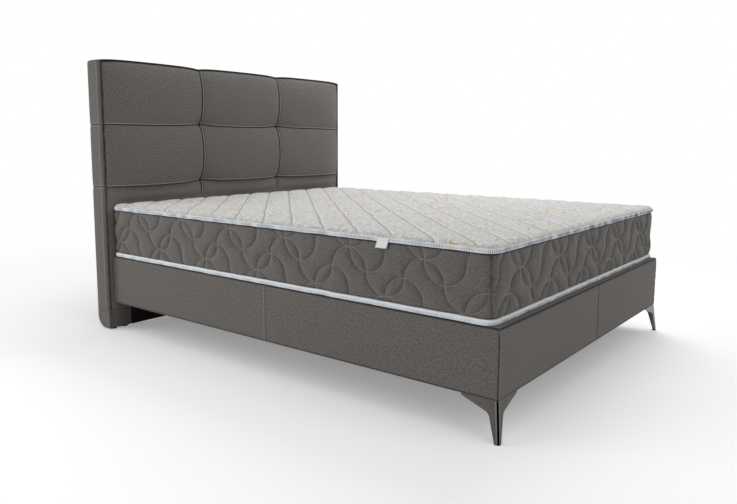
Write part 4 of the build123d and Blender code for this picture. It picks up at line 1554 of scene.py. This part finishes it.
def headboard_foot_cover(side):
    """A covered foot: a section in Y and Z with rounded lower corners, the back one larger, carried
    across from side to side, with the edges of both sides rolled over softly."""
    name = "headboard_foot_left" if side < 0 else "headboard_foot_right"
    low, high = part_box(name)
    front, back, bottom, top = low.y, high.y, low.z, high.z
    big, small, roll = 0.058, 0.012, 0.005
    arcs = []
    for centre, radius, first, last, count in (
        ((front + small, bottom + small), small, 180, 270, 7),
        ((back - big, bottom + big), big, 270, 360, 18),
    ):
        turn = np.radians(np.linspace(first, last, count))
        around = np.stack([np.cos(turn), np.sin(turn)], -1)
        arcs.append(np.array(centre) + radius * around)
    share = np.linspace(0, 1, 10)[:, None]
    start, end = np.array([front, top]), np.array([back, top])
    section = np.concatenate(
        [
            start + (arcs[0][0] - start) * share[:-1],
            arcs[0],
            arcs[0][-1] + (arcs[1][0] - arcs[0][-1]) * share[1:-1],
            arcs[1],
            arcs[1][-1] + (end - arcs[1][-1]) * share[1:],
        ]
    )
    middle = np.array([(front + back) / 2, (bottom + top) / 2 + 0.02])
    inward = (middle - section) / np.linalg.norm(middle - section, axis=1)[:, None]
    turn = np.radians(np.array([0, 30, 60, 90]))
    xs = np.concatenate(
        [
            low.x + roll * (1 - np.sin(turn)),
            np.linspace(low.x + roll, high.x - roll, 17)[1:-1],
            high.x - roll * (1 - np.sin(turn))[::-1],
        ]
    )
    xs = np.sort(xs)
    from_side = np.minimum(xs - low.x, high.x - xs)
    turned_in = roll - np.sqrt(np.clip(roll**2 - np.clip(roll - from_side, 0, roll) ** 2, 0, None))
    uneven = 0.0005 * ripple(xs[None, :] + 3 * side, section[:, 1:] * 1.0, 0.06, 87)
    yz = section[:, None, :] + inward[:, None, :] * (turned_in[None, :] + uneven)[..., None]
    yz[[0, -1], :, 1] = top
    x = np.broadcast_to(xs[None, :], yz.shape[:2])
    points = np.stack([x, yz[..., 0], yz[..., 1]], -1)[::-1]
    steps = np.linalg.norm(np.diff(section, axis=0), axis=1)
    walk = running(steps)
    uv = np.stack(np.meshgrid(xs, -walk), -1)[::-1]
    shell = Shell()
    hem = stitch_row(top - 0.008 - points[..., 2]) + stitch_row(top - 0.015 - points[..., 2])
    numbers = shell.grid(points, uv, level_stitch=0.7 * hem)
    shell.cap(numbers[::-1, 0], points[::-1, 0][:, [1, 2]])
    shell.cap(numbers[:, -1], points[:, -1][:, [1, 2]])
    lid = np.concatenate([numbers[0, :], numbers[-1, ::-1]])
    lid_uv = np.concatenate([points[0][:, :2], points[-1, ::-1][:, :2]])
    shell.cap(lid[::-1], lid_uv[::-1])
    return shell.build(name + "_cover")


def headboard_back_cloth(box):
    """The cloth over the back: flat, drawn tight between its staples and a little slack between."""
    low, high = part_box("headboard_back_cover")
    wall = box["wall"]
    xs = spaced(low.x + wall, high.x - wall, 0.012)
    levels = np.linspace(0, 1, 96)
    top = top_line(xs, box, wall)
    z = low.z + (top - low.z)[None, :] * levels[:, None]
    x = np.broadcast_to(xs[None, :], z.shape)
    edge = np.minimum(np.abs(low.x) - wall - np.abs(x), np.minimum(z - low.z, top[None, :] - z))
    hold = np.clip(edge / 0.06, 0, 1)
    pull = np.sin(x * TAU / 0.055) * np.sin(z * TAU / 0.055) * bell(edge, 0.03) * 0.0002
    y = high.y - 0.0002 - 0.0005 * hold * ripple(x, z, 0.28, 97) ** 2 + pull
    points = np.stack([x, y, z], -1)[:, ::-1]
    uv = np.stack([x, z], -1)[:, ::-1]
    shell = Shell()
    numbers = shell.grid(points, uv)
    return skirted("headboard_back_cloth", shell, numbers, points, 1, low.y, 0.001)


def headboard_lining_cloth():
    """The dark lining between the feet: an upright sheet with soft upright waves."""
    low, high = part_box("headboard_plinth_lining")
    xs = np.linspace(low.x, high.x, 120)
    zs = np.linspace(low.z, high.z, 12)
    x, z = np.meshgrid(xs, zs)
    y = low.y + 0.0005 * (1 + ripple(x, z * 0.3, 0.12, 99)) * 0.5
    front = np.stack([x, y, z], -1)
    back = front.copy()
    back[..., 1] = high.y
    uv = np.stack([x, z], -1)
    return two_faced("headboard_lining_cloth", front, back, uv, uv[:, ::-1])


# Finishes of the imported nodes


def metal_finish(look):
    """Smoked metal: a dark glossy coat with fine brushing and faint cloudiness, with a painted
    dark reflection, near black, on the narrow flat along each leg's fold, where |x| and y are
    equally far from the base's corner, and a painted highlight in a thin line beside it."""
    made = Finish("smoked_metal_gloss", look.base.metal, 0.22, Metallic=1.0, Coat_Roughness=0.08)
    place = made.place()
    brushed = made.noise(made.stretched(place, (60, 60, 4)), 12, 2.0, 0.5)
    cloud = made.noise(place, 14, 2.0, 0.5)
    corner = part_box("base_cover")[0]
    x, y, _ = made.axes(place)
    off = (abs(x) + y - (-corner.x + corner.y)) * math.sqrt(0.5)
    # The flat that gets a painted dark reflection, and no coat
    painted_dark_flat = ((abs(off) * -1 + 0.0036).most(0) * 2500).least(1)
    shade = made.between(cloud, 0.75, 1.25)
    # Painted highlight: a thin light line on each side of the flat
    shade = made.toward(shade, made.bell(abs(off) - 0.0056, 0.0015) * 0.6, 2.8)
    made.paint(
        colour=made.toward(shade, painted_dark_flat, 0.01),
        roughness=brushed * 0.12 + 0.18,
        coat=(cloud * 0.1 + 0.05) * (1 - painted_dark_flat),
    )
    return made.emboss(brushed, 0.00005, 0.4)


def timber_finish(name, colour, board=False):
    """Sawn softwood, with long grain bands and fine pores, or pressed board, with short ones."""
    made = Finish(name, colour, 0.7)
    place = made.place()
    amounts = (40, 40, 40) if board else (6, 60, 60)
    grain = made.noise(made.stretched(place, amounts), 1.0, 4.0, 0.6)
    pores = made.noise(place, 300, 2.0, 0.6)
    shade = made.between(grain * 0.8 + pores * 0.2, 0.62, 1.2)
    made.paint(colour=shade, roughness=grain * 0.25 + 0.55)
    return made.emboss(grain * 0.7 + pores * 0.3, 0.0004)


def fibre_finish(name, colour, scale, metres):
    """Foam or felt: open cells or short fibres of one scale, with slow changes of tone."""
    made = Finish(name, colour, 0.95)
    cells = made.noise(made.place(), scale, 3.0, 0.7)
    slow = made.noise(made.place(), 12, 2.0, 0.5)
    shade = made.between(cells * 0.7 + slow * 0.3, 0.7, 1.2)
    made.paint(colour=shade, roughness=cells * 0.1 + 0.86)
    return made.emboss(cells, metres)


def hard_finish(name, colour, roughness, metallic=0.0, grain=400):
    """Moulded plastic or plated steel: a fine even texture and small changes of gloss."""
    made = Finish(name, colour, roughness, Metallic=metallic)
    fine = made.noise(made.place(), grain, 2.0, 0.5)
    slow = made.noise(made.place(), 20, 2.0, 0.5)
    made.paint(
        colour=made.between(slow, 0.85, 1.15),
        roughness=fine * 0.12 + roughness - 0.05,
    )
    return made.emboss(fine, 0.0001, 0.5)


NODE_FINISHES = {
    "pine": lambda look: timber_finish("pine_sawn", written(214, 180, 132)),
    "board": lambda look: timber_finish("board_pressed", written(176, 140, 98), True),
    "smoked_metal": metal_finish,
    "zinc_steel": lambda look: hard_finish("zinc_steel", written(176, 178, 182), 0.35, 1.0),
    "black_plastic": lambda look: hard_finish("black_plastic", written(34, 34, 35), 0.5),
    "spring_wire": lambda look: hard_finish("spring_wire", written(120, 122, 126), 0.35, 1.0),
    "comfort_foam": lambda look: fibre_finish(
        "comfort_foam", written(226, 214, 172), 350, 0.0006
    ),
    "needle_felt": lambda look: fibre_finish("needle_felt", written(150, 148, 144), 220, 0.0008),
    "spring_pockets": lambda look: fibre_finish(
        "spring_pockets", written(222, 222, 218), 260, 0.0004
    ),
}

NODE_SLOTS = {
    "pine": (
        "base_side_rail_left", "base_side_rail_right", "base_head_rail", "base_foot_rail",
        "base_corner_blocks", "base_ledgers", "base_centre_beam", "base_slats",
        "headboard_post_left", "headboard_post_right", "headboard_rails", "headboard_plinth",
    ),
    "board": ("headboard_panel",),
    "smoked_metal": ("leg_front_left", "leg_front_right"),
    "zinc_steel": ("leg_screws", "headboard_bolts"),
    "black_plastic": ("centre_support_legs", "headboard_glides"),
    "spring_wire": ("base_border_wires",),
    "comfort_foam": (
        "mattress_top_foam", "mattress_bottom_foam", "mattress_edge_foam", "base_top_foam",
        "base_side_foam",
    ),
    "needle_felt": ("mattress_top_felt", "mattress_bottom_felt", "base_felt"),
    "spring_pockets": ("mattress_spring_rows", "base_spring_rows"),
}


# Operators


class BED_OT_mattress_band(bpy.types.Operator):
    """Make the quilted side band of the mattress"""

    bl_idname = "bed.mattress_band"
    bl_label = "Mattress side band"

    def execute(self, context):
        look = context.scene.bed_look
        piece = mattress_side_band(look, mattress_box())
        dress(
            piece, "mattress", side_band_finish(look), ["mattress_border"]
        )
        return {"FINISHED"}


class BED_OT_mattress_panels(bpy.types.Operator):
    """Make the quilted top and the underside of the mattress"""

    bl_idname = "bed.mattress_panels"
    bl_label = "Mattress top and underside"

    def execute(self, context):
        look = context.scene.bed_look
        box = mattress_box()
        knit = quilted_knit_finish(look)
        plain = quilted_knit_finish(look, "quilted_knit_plain", False)
        top = mattress_quilted_top(look, box)
        dress(top, "mattress", knit, ["mattress_top_panel"])
        under = mattress_bottom_cloth(look)
        dress(under, "mattress", plain, ["mattress_bottom_panel"])
        return {"FINISHED"}


class BED_OT_mattress_tapes(bpy.types.Operator):
    """Make the two edge tapes of the mattress, their stitches and the blank label"""

    bl_idname = "bed.mattress_tapes"
    bl_label = "Mattress tapes and label"

    def execute(self, context):
        look = context.scene.bed_look
        box = mattress_box()
        tape = tape_finish(look)
        rows = (
            ("top", box["band_high"], box["top_z"], 0.0056, 0.0012, (-0.93, 0.93), 1.0),
            ("bottom", box["low_z"], box["band_low"], 0.0066, -0.0026, (-0.70, 0.20), 2.8),
        )
        for name, low, high, pitch, lean, share, paler in rows:
            thread = thread_finish(look, f"tape_thread_{name}", paler)
            piece = mattress_tape(f"mattress_{name}_edge_tape", box, low, high)
            dress(piece, "mattress", tape, [f"mattress_{name}_tape"])
            stitches = tape_stitches(
                f"mattress_{name}_tape_stitches", box, low, high, pitch, lean, share
            )
            dress(stitches, "mattress", thread)
        label = mattress_cloth_label(box)
        dress(label, "mattress", label_finish(), ["mattress_label"])
        return {"FINISHED"}


class BED_OT_base_covers(bpy.types.Operator):
    """Make the covers of the base"""

    bl_idname = "bed.base_covers"
    bl_label = "Base covers"

    def execute(self, context):
        look = context.scene.bed_look
        cover = base_fabric_cover(look)
        dress(
            cover, "bed_frame", sewn_upholstery_finish(look, "base_cover_weave"),
            ["base_cover"],
        )
        top = base_top_cloth()
        dress(
            top, "bed_frame", upholstery_finish(look, "base_top_weave"),
            ["base_top_cover"],
        )
        under = base_under_cloth()
        dress(under, "bed_frame", backing_finish(look), ["base_dust_cover"])
        return {"FINISHED"}


class BED_OT_headboard_covers(bpy.types.Operator):
    """Make the tufted front, the band, the edge seam, the feet and the back of the headboard"""

    bl_idname = "bed.headboard_covers"
    bl_label = "Headboard covers"

    def execute(self, context):
        look = context.scene.bed_look
        box = headboard_box()
        sewn = sewn_upholstery_finish(look, "headboard_weave")
        lining = backing_finish(look)
        pads = headboard_front_pads(look, box)
        dress(
            pads, "bed_frame", sewn,
            ["headboard_upper_pads", "headboard_middle_pads", "headboard_lower_pads"],
        )
        band = headboard_side_band(look, box)
        dress(band, "bed_frame", sewn, ["headboard_border"])
        flange = headboard_edge_flange(look, box)
        dress(flange, "bed_frame", sewn, ["headboard_welt"])
        for side, name in ((-1, "left"), (1, "right")):
            foot = headboard_foot_cover(side)
            dress(foot, "bed_frame", sewn, [f"headboard_foot_{name}"])
        back = headboard_back_cloth(box)
        dress(back, "bed_frame", lining, ["headboard_back_cover"])
        front = headboard_lining_cloth()
        dress(front, "bed_frame", lining, ["headboard_plinth_lining"])
        return {"FINISHED"}


class BED_OT_node_finishes(bpy.types.Operator):
    """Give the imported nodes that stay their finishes"""

    bl_idname = "bed.node_finishes"
    bl_label = "Finishes of packed nodes"

    def execute(self, context):
        look = context.scene.bed_look
        for slot, names in NODE_SLOTS.items():
            material = NODE_FINISHES[slot](look)
            for name in names:
                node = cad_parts[name]
                paint_over(node, material)
        return {"FINISHED"}


class BED_OT_stage(bpy.types.Operator):
    """Make the floor, the plain soft light and the camera"""

    bl_idname = "bed.stage"
    bl_label = "Stage"

    def execute(self, context):
        look = context.scene.bed_look.stage
        scene = context.scene
        scene.view_settings.view_transform = "Standard"
        self.make_floor()
        self.make_world(scene, look)
        for light in (
            ("SUN", "overhead", (0, 0, 6), (0, 0, 0), look.overhead, math.radians(60)),
            ("SUN", "front", (0, -4.8, 3.6), (0, 0, 0), look.front, math.radians(60)),
            ("SUN", "raking", (-3.6, 3.9, 2.1), (0, 0, 0), look.raking, math.radians(35)),
            ("AREA", "left_panel", (-3.5, 0.6, 0.7), (-0.8, 0, 0.4), look.left_panel, 1.8),
            ("AREA", "head_panel", (-2.4, 2.2, 1.9), (-0.8, 0, 0.4), look.head_panel, 1.3),
            ("AREA", "top_panel", (1.8, 0.2, 3.0), (0, 0.3, 0.6), look.top_panel, 2.0),
        ):
            self.make_light(*light)
        self.make_camera(scene, look)
        return {"FINISHED"}

    def make_floor(self):
        """A pale floor that keeps the bed's shadow and fades to plain white further out."""
        mesh = bpy.data.meshes.new("floor")
        r = FLOOR_REACH
        mesh.from_pydata([(-r, -r, 0), (r, -r, 0), (r, r, 0), (-r, r, 0)], [], [(0, 1, 2, 3)])
        floor = linked("floor", mesh)
        made = Finish("floor_pale", (0.92, 0.92, 0.92), 1.0, Specular_IOR_Level=0.0)
        x, y, _ = made.axes(made.place())
        reach = made.math("SQRT", x * x + y * y)
        far = ((reach - FADE_START) / FADE_LENGTH).most(0).least(1)
        seen = made.white_seen()
        near = made.node("ShaderNodeAddShader")
        glow = made.node("ShaderNodeEmission", sockets={"Strength": seen * 0.25})
        white = made.node("ShaderNodeEmission", sockets={"Strength": seen})
        blend = made.node("ShaderNodeMixShader", sockets={0: far * far * (far * -2 + 3) * seen})
        made.join((made.shader, near, 0), (glow, near, 1))
        made.join((near, blend, 1), (white, blend, 2), (blend, made.output, 0))
        mesh.materials.append(made.material)

    def make_world(self, scene, look):
        """Plain soft light all round, and white where the surroundings are seen."""
        world = bpy.data.worlds.new("studio")
        world.use_nodes = True
        scene.world = world
        made = Graph(world.node_tree)
        lit, white = (
            made.node("ShaderNodeBackground", sockets={"Color": (1, 1, 1, 1), "Strength": strength})
            for strength in (look.surround, 1.0)
        )
        blend = made.node("ShaderNodeMixShader", sockets={0: made.white_seen()})
        output = made.node("ShaderNodeOutputWorld")
        made.join((lit, blend, 1), (white, blend, 2), (blend, output, 0))

    def make_light(self, kind, name, place, aim, strength, spread):
        """Shines from its place at its aim. A sun's spread is an angle, a panel's a width."""
        data = bpy.data.lights.new(name, kind)
        data.energy = strength
        setattr(data, "angle" if kind == "SUN" else "size", spread)
        lamp = linked(name, data)
        lamp.rotation_mode = "QUATERNION"
        lamp.rotation_quaternion = (Vector(place) - Vector(aim)).to_track_quat("Z", "Y")
        lamp.location = place

    def make_camera(self, scene, look):
        """Eye, heading, tilt and roll come from the corners of the bed in the photograph."""
        yaw, tilt, roll = (math.radians(a) for a in CAMERA_TURN)
        ahead = Vector(
            (-math.sin(yaw) * math.cos(tilt), math.cos(yaw) * math.cos(tilt), math.sin(tilt))
        )
        right = Vector((math.cos(yaw), math.sin(yaw), 0))
        up = right.cross(ahead)
        level = right * math.cos(roll) + up * math.sin(roll)
        plumb = up * math.cos(roll) - right * math.sin(roll)
        data = bpy.data.cameras.new("camera")
        data.sensor_width = 36
        data.lens = look.lens
        data.shift_y = CAMERA_SHIFT
        camera = linked("camera", data)
        turned = Matrix((level, plumb, -ahead)).transposed().to_4x4()
        camera.matrix_world = Matrix.Translation(CAMERA_PLACE) @ turned
        scene.camera = camera


class BED_PT_dressing(bpy.types.Panel):
    """Lists the pieces of the bed in the sidebar"""

    bl_idname = "BED_PT_dressing"
    bl_label = "Box spring bed"
    bl_space_type = "VIEW_3D"
    bl_region_type = "UI"
    bl_category = "Bed"

    def draw(self, context):
        for operator in OPERATORS:
            self.layout.operator(operator.bl_idname)


OPERATORS = (
    BED_OT_mattress_band,
    BED_OT_mattress_panels,
    BED_OT_mattress_tapes,
    BED_OT_base_covers,
    BED_OT_headboard_covers,
    BED_OT_node_finishes,
    BED_OT_stage,
)
GROUPS = (FabricLook, MattressLook, HeadboardLook, BaseLook, StageLook, BedLook)


def register():
    for each in (*GROUPS, *OPERATORS, BED_PT_dressing):
        bpy.utils.register_class(each)
    bpy.types.Scene.bed_look = PointerProperty(type=BedLook)


def unregister():
    del bpy.types.Scene.bed_look
    for each in reversed((*GROUPS, *OPERATORS, BED_PT_dressing)):
        bpy.utils.unregister_class(each)


def main():
    register()
    bpy.ops.bed.mattress_band()
    bpy.ops.bed.mattress_panels()
    bpy.ops.bed.mattress_tapes()
    bpy.ops.bed.base_covers()
    bpy.ops.bed.headboard_covers()
    bpy.ops.bed.node_finishes()
    bpy.ops.bed.stage()


if __name__ == "__main__":
    main()
